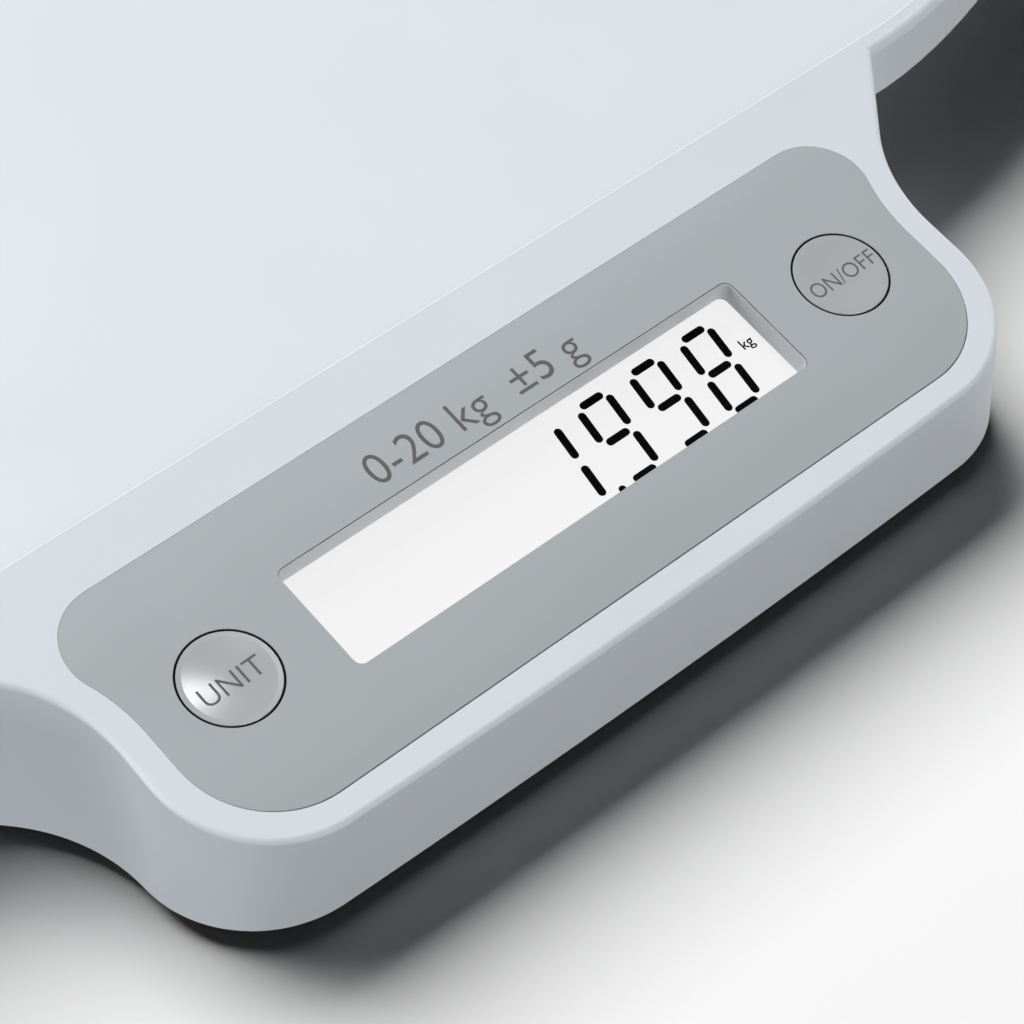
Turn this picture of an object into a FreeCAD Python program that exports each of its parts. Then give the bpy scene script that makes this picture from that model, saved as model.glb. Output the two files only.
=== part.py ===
"""Digital baby weighing scale: tray and console in one moulding, on four load-cell feet.

Frame: millimetres, +X to the right along the tray, -Y to the console, +Z up.
The origin lies under the middle of the whole scale, on the surface that the feet stand on.
The console's panel has a frame of its own: its origin is the middle of the display window,
x to the right, y up the slope and z out of the panel.
"""
import FreeCAD, Part
import Sketcher
import math
import os
from types import SimpleNamespace
from FreeCAD import Base, Vector

doc = FreeCAD.newDocument("baby_scale")

# ---------------------------------------------------------------- driving dimensions
SIZES = {
    # tray
    "tray_length": 486,
    "tray_depth": 279.35,
    "tray_corner_radius": 138,
    "tray_side_bow_radius": 4200,
    "tray_end_bow_radius": 150,
    "tray_height": 38,
    "tray_flat_half": 110,
    "tray_rise": 16,
    "rim_height": 14,
    "rim_round": 2.8,
    "crease_setback": 0.2,
    # console
    "console_reach": 60.75,
    "console_width": 171.5,
    "console_corner_radius": 21.6,
    "console_bow_radius": 2500,
    "console_round": 0.9,
    "neck_length": 35,
    "neck_radius": 28.2,
    "neck_turn": 41,
    "neck_radius_flare": 12,
    "neck_start_flare": 9.2,
    "slope_angle": 12,
    "side_flare": 5.4,
    "front_lean": 1.2,
    # shells
    "shell_wall": 2.8,
    "floor_gap": 4,
    "floor_thickness": 2.5,
    "shell_fit": 0.4,
    "pedestal_length": 420,
    "pedestal_depth": 216,
    "pedestal_corner_radius": 100,
    "rib_thickness": 2,
    "rib_depth": 8,
    "rib_spacing": 62,
    "rib_clearance": 1.5,
    # panel
    "panel_to_crease": 34.9,
    "panel_length": 161.6,
    "panel_far": 24.8,
    "panel_near": 24.7,
    "panel_near_corner": 17,
    "panel_waist_radius": 33.6,
    "panel_waist_turn": 20,
    "panel_thickness": 1.2,
    "panel_fit": 0.15,
    # display
    "window_length": 96,
    "window_depth": 20.4,
    "window_drop": 4.2,
    "sleeve_wall": 2,
    "bezel_length": 109,
    "bezel_depth": 34,
    "cell_length": 104,
    "cell_depth": 28,
    "cell_thickness": 2.8,
    "lens_thickness": 1,
    "zebra_depth": 2.4,
    "stack_fit": 0.1,
    # buttons
    "button_spacing": 130.1,
    "button_diameter": 16.3,
    "button_gap": 0.25,
    "button_dish": 0.35,
    "button_travel": 0.8,
    "button_flange": 1.3,
    "button_flange_height": 1.2,
    "button_post_diameter": 4.4,
    "button_post_length": 1.7,
    "plunger_diameter": 3.4,
    "plunger_fit": 0.2,
    "switch_side": 6.2,
    "switch_height": 3.6,
    "switch_bore_depth": 2.4,
    # board
    "board_length": 150,
    "board_depth": 40,
    "board_thickness": 1.6,
    "board_drop": 12.2,
    "board_hole_spacing_x": 140,
    "board_hole_spacing_y": 30,
    "board_boss_diameter": 6.5,
    "board_screw_diameter": 2.2,
    "board_screw_length": 6.5,
    "board_screw_head_diameter": 4.4,
    "board_screw_head_height": 1.5,
    "chip_side": 12,
    "chip_height": 1.8,
    "socket_length": 26,
    "socket_depth": 6,
    "socket_height": 4.5,
    # shell screws
    "screw_diameter": 3,
    "screw_length": 12,
    "screw_head_diameter": 6.4,
    "screw_head_height": 2,
    "screw_fit": 0.2,
    "cup_diameter": 13,
    "cup_height": 3,
    "boss_diameter": 8,
    "end_screw_inset": 22,
    "side_screw_inset": 13,
    "side_screw_spacing": 190,
    "front_screw_spacing": 156,
    "front_screw_setback": 10,
    # feet and load cells
    "foot_inset_x": 65,
    "foot_inset_y": 46,
    "foot_diameter": 32,
    "foot_height": 3.6,
    "foot_chamfer": 1,
    "foot_fit": 0.4,
    "foot_boss_diameter": 10,
    "foot_boss_clearance": 1,
    "pad_diameter": 28,
    "pad_thickness": 2.4,
    "pad_chamfer": 0.6,
    "seat_diameter": 54,
    "seat_height": 4.4,
    "seat_web": 1.2,
    "load_cell_side": 34,
    "load_cell_thickness": 1.6,
    "load_cell_ledge": 2,
    "load_cell_ring": 21,
    "load_cell_slot": 2.2,
    "load_cell_tongue": 13.6,
    # batteries
    "battery_diameter": 10.5,
    "battery_length": 44.5,
    "battery_pitch": 11.2,
    "battery_clearance": 0.3,
    "pole_diameter": 3.8,
    "pole_length": 1,
    "contact_thickness": 0.5,
    "contact_width": 8,
    "contact_height": 8.4,
    "bay_wall": 2,
    "door_length": 50,
    "door_width": 52,
    "door_thickness": 2,
    "door_fit": 0.4,
    "door_travel": 6,
    "door_hook_reach": 2.6,
    "door_hook_length": 5.5,
    "door_hook_spacing": 26,
    "door_hook_thickness": 1.4,
    "door_hook_riser": 2,
    "groove_length": 10,
    "groove_width": 20,
    "groove_depth": 0.8,
    "groove_offset": 15,
    # wires
    "wire_diameter": 2.2,
    "wire_lane_gap": 8,
    "wire_lane_pitch": 9,
    "wire_turn": 26,
    "wire_exit": 14,
    "lead_diameter": 1.8,
    "lead_offset": 6,
    "lead_step": 12,
}
BATTERIES = 4
RIGHT, LEFT, FRONT, BACK = 1, -1, -1, 1
ROOM = 20.0  # how far a cutting solid runs past what it cuts
UNDER = 1.0  # how far a hollow starts below the edge that it opens at
STEEP = 0.6  # a face whose normal rises less than this counts as a wall


def make_sheet():
    """The spreadsheet of driving dimensions: one name and one plain number a row."""
    sheet = doc.addObject("Spreadsheet::Sheet", "Sizes")
    for row, (name, value) in enumerate(SIZES.items(), 1):
        sheet.set(f"A{row}", name)
        sheet.set(f"B{row}", str(value))
        sheet.setAlias(f"B{row}", name)
    doc.recompute()
    return sheet


sheet = make_sheet()
v = SimpleNamespace(**{name: float(sheet.get(name)) for name in SIZES})

# ---------------------------------------------------------------- places that follow
TILT = math.radians(v.slope_angle)
rim_y = (v.console_reach - v.tray_depth) / 2
front_y = rim_y - v.console_reach
tray_y = v.console_reach / 2
crease_y = rim_y + v.rim_round + v.crease_setback
panel_y = crease_y - v.panel_to_crease * math.cos(TILT)
panel_z = v.tray_height - v.panel_to_crease * math.sin(TILT)
front_top_z = v.tray_height - (crease_y - front_y) * math.tan(TILT)
floor_top = v.floor_gap + v.floor_thickness
rise_run = v.tray_length / 2 - v.tray_flat_half
rise_radius = (rise_run**2 + v.tray_rise**2) / (2 * v.tray_rise)
pedestal_front = tray_y - v.pedestal_depth / 2
seat_top = floor_top + v.seat_height

# the same places as expressions, for the objects that are bound to the sheet
RIM_Y = "(Sizes.console_reach - Sizes.tray_depth) / 2"
TRAY_Y = "Sizes.console_reach / 2"
PANEL_Y = (
    f"({RIM_Y} + Sizes.rim_round + Sizes.crease_setback"
    " - Sizes.panel_to_crease * cos(Sizes.slope_angle))"
)
PANEL_Z = "(Sizes.tray_height - Sizes.panel_to_crease * sin(Sizes.slope_angle))"
FLOOR_TOP = "(Sizes.floor_gap + Sizes.floor_thickness)"
FLANGE_Z = "(-Sizes.shell_wall - Sizes.button_gap - Sizes.button_flange_height)"
POST_Z = f"({FLANGE_Z} - Sizes.button_post_length)"
SWITCH_Z = "(Sizes.switch_height - Sizes.board_drop)"
LOAD_CELL_Z = f"({FLOOR_TOP} + Sizes.seat_height - Sizes.load_cell_thickness)"
BATTERY_Z = (
    "(Sizes.floor_gap + Sizes.door_thickness + Sizes.battery_clearance"
    " + Sizes.battery_diameter / 2)"
)

pieces = {}


def keep(thing, name):
    """Names one separate piece of the scale. Its label is its file's name."""
    thing.Label = name
    pieces[name] = thing
    return thing


def bind(thing, **formulas):
    """Binds properties of an object to the sheet."""
    for prop, formula in formulas.items():
        thing.setExpression(prop, str(formula))
    return thing


def stand(thing, x=0, y=0, z=0):
    """Binds an object's place in the scale's frame."""
    for axis, formula in zip("xyz", (x, y, z)):
        thing.setExpression(f"Placement.Base.{axis}", str(formula))
    return thing


def on_panel(thing, x=0, y=0, z=0):
    """Binds an object's place and tilt to the panel's frame."""
    thing.Placement = Base.Placement(Vector(), Base.Rotation(Vector(1, 0, 0), v.slope_angle))
    thing.setExpression("Placement.Rotation.Angle", "Sizes.slope_angle")
    sine, cosine = "sin(Sizes.slope_angle)", "cos(Sizes.slope_angle)"
    return stand(
        thing,
        x,
        f"{PANEL_Y} + ({y}) * {cosine} - ({z}) * {sine}",
        f"{PANEL_Z} + ({y}) * {sine} + ({z}) * {cosine}",
    )


def panel_placement(x=0.0, y=0.0, z=0.0):
    """The placement of a piece that is made in the panel's frame."""
    turn = Base.Rotation(Vector(1, 0, 0), v.slope_angle)
    return Base.Placement(Vector(0, panel_y, panel_z) + turn.multVec(Vector(x, y, z)), turn)


def box(length, width, height, name="block"):
    """A block centred on its own Z axis, standing on its own XY plane."""
    block = doc.addObject("Part::Box", name)
    bind(block, Length=length, Width=width, Height=height)
    return stand(block, f"-({length}) / 2", f"-({width}) / 2")


def post(diameter, height, z=0, name="post"):
    cylinder = doc.addObject("Part::Cylinder", name)
    bind(cylinder, Radius=f"({diameter}) / 2", Height=height)
    return stand(cylinder, z=z)


def raised(block, z):
    block.setExpression("Placement.Base.z", str(z))
    return block


def shifted(block, axis, length, formula):
    """Moves a centred block along one axis by a formula."""
    block.setExpression(f"Placement.Base.{axis}", f"{formula} - ({length}) / 2")
    return block


def cut(base, *tools):
    for tool in tools:
        result = doc.addObject("Part::Cut", "cut")
        result.Base, result.Tool = base, tool
        base = result
    return base


def fused(*things):
    result = doc.addObject("Part::MultiFuse", "joined")
    result.Shapes = list(things)
    return result


def shaped(shape, name):
    """A piece whose outline no primitive gives: its shape comes from Part's own functions."""
    piece = doc.addObject("Part::Feature", name)
    piece.Shape = shape
    return keep(piece, name)


# ---------------------------------------------------------------- sketches of PartDesign bodies
def new_body(name):
    return doc.addObject("PartDesign::Body", name + "_body")


def new_sketch(body, plane="XY_Plane"):
    sketch = body.newObject("Sketcher::SketchObject", "sketch")
    role = [f for f in body.Origin.OriginFeatures if f.Role == plane][0]
    sketch.AttachmentSupport = (role, [""])
    sketch.MapMode = "FlatFace"
    return sketch


def sketch_rectangle(sketch, length, width):
    """A rectangle centred on the sketch's origin, its two sizes bound to the sheet."""
    first = sketch.GeometryCount
    corners = [Vector(-5, -5), Vector(5, -5), Vector(5, 5), Vector(-5, 5)]
    for k in range(4):
        sketch.addGeometry(Part.LineSegment(corners[k], corners[(k + 1) % 4]), False)
    for k in range(4):
        rule = "Horizontal" if k % 2 == 0 else "Vertical"
        sketch.addConstraint(Sketcher.Constraint(rule, first + k))
        sketch.addConstraint(
            Sketcher.Constraint("Coincident", first + k, 2, first + (k + 1) % 4, 1)
        )
    sketch.addConstraint(Sketcher.Constraint("Symmetric", first, 1, first + 2, 1, -1, 1))
    for line, formula in ((first, length), (first + 1, width)):
        number = sketch.addConstraint(
            Sketcher.Constraint("Distance", line, sketch.Geometry[line].length())
        )
        sketch.setExpression(f"Constraints[{number}]", str(formula))


def sketch_circle(sketch, diameter, x, y):
    """A circle at a place in the sketch, all bound to the sheet."""
    number = sketch.addGeometry(
        Part.Circle(Vector(1, 1), Vector(0, 0, 1), 1), False
    )
    rules = (
        (Sketcher.Constraint("Diameter", number, 2), diameter),
        (Sketcher.Constraint("DistanceX", -1, 1, number, 3, 1), x),
        (Sketcher.Constraint("DistanceY", -1, 1, number, 3, 1), y),
    )
    for rule, formula in rules:
        place = sketch.addConstraint(rule)
        sketch.setExpression(f"Constraints[{place}]", str(formula))


def sketch_profile(sketch, points):
    """A closed outline of straight edges, each corner at two formulas from the origin."""
    rough = [Vector(4 * math.cos(a), 4 * math.sin(a)) for a in
             (2 * math.pi * k / len(points) for k in range(len(points)))]
    for k, start in enumerate(rough):
        sketch.addGeometry(Part.LineSegment(start, rough[(k + 1) % len(rough)]), False)
    for k, (x, y) in enumerate(points):
        sketch.addConstraint(
            Sketcher.Constraint("Coincident", k, 2, (k + 1) % len(points), 1)
        )
        for rule, formula, now in (("DistanceX", x, rough[k].x), ("DistanceY", y, rough[k].y)):
            place = sketch.addConstraint(Sketcher.Constraint(rule, -1, 1, k, 1, now))
            sketch.setExpression(f"Constraints[{place}]", str(formula))


def pad(body, sketch, length):
    feature = body.newObject("PartDesign::Pad", "pad")
    feature.Profile = sketch
    bind(feature, Length=length)
    return feature


def revolve(body, sketch):
    """Turns the sketch on the XZ plane about the body's Z axis."""
    feature = body.newObject("PartDesign::Revolution", "turned")
    feature.Profile = sketch
    feature.ReferenceAxis = (sketch, ["V_Axis"])
    feature.Angle = 360
    return feature


# ---------------------------------------------------------------- outlines
def arc(start, middle, end):
    return Part.Arc(start, middle, end).toShape()


def on_arc(centre, radius, angle, z):
    return Vector(centre[0] + radius * math.cos(angle), centre[1] + radius * math.sin(angle), z)


def mirrored_wire(half):
    """Closes a right-hand half outline, from the front middle to the back middle."""
    edges = list(half) + [edge.mirror(Vector(), Vector(1, 0, 0)) for edge in half]
    return Part.Wire(Part.__sortEdges__(edges))


def circle_meeting(one, reach_one, two, reach_two):
    """The point at two given distances from two points, on the front right of both."""
    gap = math.hypot(two[0] - one[0], two[1] - one[1])
    along = (reach_one**2 - reach_two**2 + gap**2) / (2 * gap)
    aside = math.sqrt(reach_one**2 - along**2)
    ux, uy = (two[0] - one[0]) / gap, (two[1] - one[1]) / gap
    foot = (one[0] + along * ux, one[1] + along * uy)
    options = [(foot[0] - s * aside * uy, foot[1] + s * aside * ux) for s in (1, -1)]
    return max(options, key=lambda point: point[0] - point[1])


def bowed_outline(length, depth, corner, side_bow, end_bow, inset, z):
    """An oblong with bowed sides and ends and round corners, centred under the tray."""
    side_centre = (0.0, -depth / 2 + side_bow)
    end_centre = (length / 2 - end_bow, 0.0)
    cx, cy = circle_meeting(side_centre, side_bow - corner, end_centre, end_bow - corner)
    a = math.atan2(cy - side_centre[1], cx - side_centre[0])
    b = math.atan2(cy - end_centre[1], cx - end_centre[0])
    side_r, end_r, corner_r = side_bow - inset, end_bow - inset, corner - inset
    half = [
        arc(on_arc(side_centre, side_r, -math.pi / 2, z),
            on_arc(side_centre, side_r, (a - math.pi / 2) / 2, z),
            on_arc(side_centre, side_r, a, z)),
        arc(on_arc((cx, cy), corner_r, a, z),
            on_arc((cx, cy), corner_r, (a + b) / 2, z),
            on_arc((cx, cy), corner_r, b, z)),
        arc(on_arc(end_centre, end_r, b, z), on_arc(end_centre, end_r, b / 2, z),
            on_arc(end_centre, end_r, 0, z)),
    ]
    half += [edge.mirror(Vector(), Vector(0, 1, 0)) for edge in half]
    wire = mirrored_wire(half)
    wire.translate(Vector(0, tray_y, 0))
    return wire


def tray_prism(inset, low, high):
    wire = bowed_outline(v.tray_length, v.tray_depth, v.tray_corner_radius,
                         v.tray_side_bow_radius, v.tray_end_bow_radius, inset, low)
    return Part.Face(wire).extrude(Vector(0, 0, high - low))


def pedestal_prism(inset, low, high):
    wire = bowed_outline(v.pedestal_length, v.pedestal_depth, v.pedestal_corner_radius,
                         v.tray_side_bow_radius, v.tray_end_bow_radius, inset, low)
    return Part.Face(wire).extrude(Vector(0, 0, high - low))


def console_side(z):
    return v.console_width / 2 + (panel_z - z) * math.tan(math.radians(v.side_flare))


def console_front(z):
    return front_y + (front_top_z - z) * math.tan(math.radians(v.front_lean))


def neck_end(z, inset=0.0):
    """The neck's hollow curve: it widens and starts nearer the front on the way down."""
    below = panel_z - z
    radius = v.neck_radius + below * math.tan(math.radians(v.neck_radius_flare))
    start = crease_y - v.neck_length - below * math.tan(math.radians(v.neck_start_flare))
    return (console_side(z) + radius, start), radius + inset, math.radians(v.neck_turn)


def rim_corner_x(z):
    """Half the neck's width where it meets the tray's rim."""
    (cx, cy), radius, turn = neck_end(z)
    end_x, end_y = cx - radius * math.cos(turn), cy + radius * math.sin(turn)
    return end_x + (rim_y + v.rim_round / 2 - end_y) * math.tan(turn)


def console_outline(inset, z, back):
    """The console's plan at height z: bowed front, round corners, hollow neck, straight back."""
    side = console_side(z) - inset
    bow = v.console_bow_radius - inset
    corner = v.console_corner_radius - inset
    bow_centre = (0.0, console_front(z) + v.console_bow_radius)
    reach = bow - corner
    cx = side - corner
    cy = bow_centre[1] - math.sqrt(reach**2 - cx**2)
    a = math.atan2(cy - bow_centre[1], cx)
    neck_centre, neck_r, turn = neck_end(z, inset)
    back_x = rim_corner_x(z) - inset
    flare = on_arc(neck_centre, neck_r, math.pi - turn, z)
    flare_y = flare.y + (back_x - flare.x) / math.tan(turn)
    elbow = Vector(back_x, flare_y, z)
    half = [
        arc(on_arc(bow_centre, bow, -math.pi / 2, z),
            on_arc(bow_centre, bow, (a - math.pi / 2) / 2, z), on_arc(bow_centre, bow, a, z)),
        arc(on_arc((cx, cy), corner, a, z), on_arc((cx, cy), corner, a / 2, z),
            on_arc((cx, cy), corner, 0, z)),
        Part.LineSegment(Vector(side, cy, z), Vector(side, neck_centre[1], z)).toShape(),
        arc(Vector(side, neck_centre[1], z), on_arc(neck_centre, neck_r, math.pi - turn / 2, z),
            flare),
        Part.LineSegment(flare, elbow).toShape(),
        Part.LineSegment(elbow, Vector(back_x, back, z)).toShape(),
        Part.LineSegment(Vector(back_x, back, z), Vector(0, back, z)).toShape(),
    ]
    return mirrored_wire(half)


def console_block(inset, low, high, back):
    """The console between two heights. Its sides flare and its front leans in on the way down."""
    wires = [console_outline(inset, z, back) for z in (low, high)]
    return Part.makeLoft(wires, True, True)


def panel_outline(outset, z):
    """The grey panel's outline in the panel's frame: straight sides with waisted ends."""
    half = v.panel_length / 2
    near, far = -v.panel_near - outset, v.panel_far + outset
    corner = v.panel_near_corner
    near_centre = (half - corner, -v.panel_near + corner)
    turn = math.radians(v.panel_waist_turn)
    waist = v.panel_waist_radius
    waist_centre = (half + waist, 0.0)
    tip_x, tip_y = waist_centre[0] - waist * math.cos(turn), waist * math.sin(turn)
    tip = (v.panel_far - tip_y) / (1 + math.sin(turn))
    tip_centre = (tip_x - tip * math.cos(turn), tip_y + tip * math.sin(turn))
    corner, waist, tip = corner + outset, waist - outset, tip + outset
    side = half + outset
    halves = [
        Part.LineSegment(Vector(0, near, z), Vector(near_centre[0], near, z)).toShape(),
        arc(Vector(near_centre[0], near, z), on_arc(near_centre, corner, -math.pi / 4, z),
            on_arc(near_centre, corner, 0, z)),
        Part.LineSegment(on_arc(near_centre, corner, 0, z), Vector(side, 0, z)).toShape(),
        arc(Vector(side, 0, z), on_arc(waist_centre, waist, math.pi - turn / 2, z),
            on_arc(waist_centre, waist, math.pi - turn, z)),
        arc(on_arc(tip_centre, tip, -turn, z), on_arc(tip_centre, tip, math.pi / 4, z),
            on_arc(tip_centre, tip, math.pi / 2, z)),
        Part.LineSegment(Vector(tip_centre[0], far, z), Vector(0, far, z)).toShape(),
    ]
    return mirrored_wire(halves)


# ---------------------------------------------------------------- spaces under the top surface
def under_tray(drop):
    """All that lies at least drop below the tray's surface: flat in the middle, rising at the ends."""
    reach = v.tray_length / 2 + ROOM
    radius = rise_radius + drop
    centre_z = v.tray_height + rise_radius
    lean = math.asin((reach - v.tray_flat_half) / radius)

    def curve_point(side, angle):
        return Vector(side * (v.tray_flat_half + radius * math.sin(angle)), 0,
                      centre_z - radius * math.cos(angle))

    ends = {s: [curve_point(s, lean), curve_point(s, lean / 2), curve_point(s, 0)] for s in (1, -1)}
    low = -ROOM
    edges = [
        arc(*ends[1]),
        Part.LineSegment(ends[1][2], ends[-1][2]).toShape(),
        arc(*reversed(ends[-1])),
        Part.LineSegment(ends[-1][0], Vector(ends[-1][0].x, 0, low)).toShape(),
        Part.LineSegment(Vector(ends[-1][0].x, 0, low), Vector(ends[1][0].x, 0, low)).toShape(),
        Part.LineSegment(Vector(ends[1][0].x, 0, low), ends[1][0]).toShape(),
    ]
    face = Part.Face(Part.Wire(edges))
    face.translate(Vector(0, front_y - ROOM, 0))
    return face.extrude(Vector(0, v.tray_depth + v.console_reach + 2 * ROOM, 0))


def slope_line(y, drop):
    """Height of the console's slope, less a wall measured square to it."""
    return v.tray_height - (crease_y - y) * math.tan(TILT) - drop / math.cos(TILT)


def under_slope(drop):
    """All that lies at least drop below the console's slope."""
    low_y, high_y = front_y - ROOM, crease_y + v.tray_depth
    points = [(low_y, -ROOM), (low_y, slope_line(low_y, drop)),
              (high_y, slope_line(high_y, drop)), (high_y, -ROOM)]
    wide = v.tray_length / 2
    corners = [Vector(-wide, y, z) for y, z in points]
    return Part.Face(Part.makePolygon(corners + corners[:1])).extrude(Vector(2 * wide, 0, 0))


def under_level(height):
    """All of the console's space that lies under one height."""
    return block_between((-v.tray_length, front_y - ROOM, -ROOM), (v.tray_length, tray_y, height))


def over_slope():
    """All above the console's slope, where the tray's rim gives way to it."""
    low_y, high_y = front_y - ROOM, crease_y + ROOM
    high = v.tray_height + ROOM
    half = rim_corner_x(v.tray_height)
    points = [(low_y, slope_line(low_y, 0)), (high_y, slope_line(high_y, 0)), (high_y, high),
              (low_y, high)]
    corners = [Vector(-half, y, z) for y, z in points]
    return Part.Face(Part.makePolygon(corners + corners[:1])).extrude(Vector(2 * half, 0, 0))


# ---------------------------------------------------------------- places of what repeats
def shell_screw_places():
    """Where the eight screws join the two shells."""
    end_x = v.pedestal_length / 2 - v.end_screw_inset
    side_y = v.pedestal_depth / 2 - v.side_screw_inset
    half, front_half = v.side_screw_spacing / 2, v.front_screw_spacing / 2
    front = panel_y + v.board_depth / 2 + v.front_screw_setback
    places = [(s * end_x, tray_y) for s in (LEFT, RIGHT)]
    places += [(s * half, tray_y + t * side_y) for s in (LEFT, RIGHT) for t in (FRONT, BACK)]
    places += [(s * front_half, front) for s in (LEFT, RIGHT)]
    return places


def foot_corners():
    """The four feet: name, side and end."""
    return [
        (f"{'front' if t == FRONT else 'back'}_{'left' if s == LEFT else 'right'}", s, t)
        for t in (FRONT, BACK) for s in (LEFT, RIGHT)
    ]


def foot_place(side, end):
    """X and Y of a foot, from the pedestal's walls."""
    return (side * (v.pedestal_length / 2 - v.foot_inset_x),
            tray_y + end * (v.pedestal_depth / 2 - v.foot_inset_y))


def board_hole_places():
    return [(s * v.board_hole_spacing_x / 2, t * v.board_hole_spacing_y / 2)
            for s in (LEFT, RIGHT) for t in (FRONT, BACK)]


def upright(diameter, x, y, low, high):
    return Part.makeCylinder(diameter / 2, high - low, Vector(x, y, low))


def block_between(low, high):
    """A block from its lowest to its highest corner."""
    size = [b - a for a, b in zip(low, high)]
    return Part.makeBox(*size, Vector(*low))


# ---------------------------------------------------------------- shells
def top_edges(solid, above):
    """The edges higher than a given height where a top surface meets an outer wall."""
    edges = []
    for edge in solid.Edges:
        faces = solid.ancestorsOfType(edge, Part.Face)
        middle = edge.valueAt((edge.FirstParameter + edge.LastParameter) / 2)
        if middle.z < above or len(faces) != 2:
            continue
        steep = [abs(face.normalAt(*face.Surface.parameter(middle)).z) < STEEP for face in faces]
        if steep[0] != steep[1]:
            edges.append(edge)
    return edges


def make_top_shell():
    """Tray, rim and console in one moulding, hollow from below, with ribs and screw bosses."""
    high = v.tray_height + v.tray_rise + ROOM
    low = v.floor_gap
    console_top = v.tray_height + ROOM
    back = pedestal_front - v.shell_fit
    tray = tray_prism(0, low, high).common(under_tray(0))
    tray = tray.makeFillet(v.rim_round, top_edges(tray, v.tray_height - v.rim_round))
    tray = tray.cut(under_tray(v.rim_height)).cut(over_slope())
    console = console_block(0, low, console_top, back).common(under_slope(0))
    edges = [edge for edge in top_edges(console, low + v.rim_height)
             if edge.BoundBox.YMin < back - v.shell_wall]
    console = console.makeFillet(v.console_round, edges).common(under_level(v.tray_height))
    outer = tray.fuse(console).removeSplitter()
    tray_hollow = tray_prism(v.shell_wall, low, high).common(under_tray(v.shell_wall))
    tray_hollow = tray_hollow.cut(console_block(0, low - UNDER, console_top, back))
    console_hollow = console_block(v.shell_wall, low - UNDER, console_top, back + ROOM)
    console_hollow = console_hollow.common(under_slope(v.shell_wall))
    console_hollow = console_hollow.common(under_level(v.tray_height - v.shell_wall))
    shell = outer.cut(tray_hollow).cut(console_hollow)
    shell = shell.fuse([*make_ribs(), *make_shell_bosses(), *make_board_bosses()])
    shell = shell.cut(panel_pocket()).cut(Part.makeCompound(shell_openings()))
    return shaped(shell.removeSplitter(), "top_shell")


def make_ribs():
    """Stiffening ribs on the tray's underside, inside the pedestal."""
    room = pedestal_prism(v.floor_thickness + v.rib_clearance, v.floor_gap, v.tray_height + v.tray_rise)
    room = room.common(under_tray(v.shell_wall / 2)).cut(under_tray(v.shell_wall + v.rib_depth))
    half = v.rib_thickness / 2
    reach_x, reach_y = v.tray_length / 2, v.tray_depth / 2
    top = v.tray_height + v.tray_rise
    bars = []
    for k in range(-3, 4):
        x = k * v.rib_spacing
        bars.append(block_between((x - half, tray_y - reach_y, 0), (x + half, tray_y + reach_y, top)))
    for k in (-1, 0, 1):
        y = tray_y + k * v.rib_spacing
        bars.append(block_between((-reach_x, y - half, 0), (reach_x, y + half, top)))
    return [bar.common(room) for bar in bars]


def make_shell_bosses():
    """Posts from the roof down to the screw cups of the lower shell."""
    low = floor_top + v.cup_height
    top = v.tray_height + v.tray_rise
    roof = under_tray(v.shell_wall / 2)
    slope = under_slope(v.shell_wall / 2)
    bosses = []
    for x, y in shell_screw_places():
        boss = upright(v.boss_diameter, x, y, low, top)
        boss = boss.cut(upright(v.screw_diameter + v.screw_fit, x, y, low, low + v.screw_length))
        boss = boss.common(roof)
        bosses.append(boss.common(slope) if y < crease_y else boss)
    return bosses


def make_board_bosses():
    """Four posts square to the slope that carry the circuit board."""
    bosses = []
    for x, y in board_hole_places():
        low, high = -v.board_drop, -v.shell_wall / 2 - v.panel_thickness / 2
        boss = upright(v.board_boss_diameter, x, y, low, high)
        boss = boss.cut(upright(v.board_screw_diameter + v.screw_fit, x, y, low,
                                low + v.board_screw_length))
        boss.Placement = panel_placement()
        bosses.append(boss)
    return bosses


def panel_pocket():
    """The shallow pocket that the grey panel is glued into."""
    wire = panel_outline(v.panel_fit, -v.panel_thickness)
    pocket = Part.Face(wire).extrude(Vector(0, 0, v.panel_thickness + ROOM))
    pocket.Placement = panel_placement()
    return pocket


def shell_openings():
    """The openings under the panel: one for the display's sleeve and two for the buttons."""
    low, high = -v.shell_wall - UNDER, 0
    length = v.window_length + 2 * v.sleeve_wall + 2 * v.door_fit
    depth = v.window_depth + 2 * v.sleeve_wall + 2 * v.door_fit
    openings = [block_between((-length / 2, -depth / 2, low), (length / 2, depth / 2, high))]
    for side in (LEFT, RIGHT):
        openings.append(upright(v.button_diameter + 2 * v.button_gap,
                                side * v.button_spacing / 2, 0, low, high))
    for opening in openings:
        opening.Placement = panel_placement()
    return openings


def door_opening():
    """Length and width of the battery door's opening in the floor."""
    return v.door_length + 2 * v.door_fit, v.door_width + 2 * v.door_fit


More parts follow.
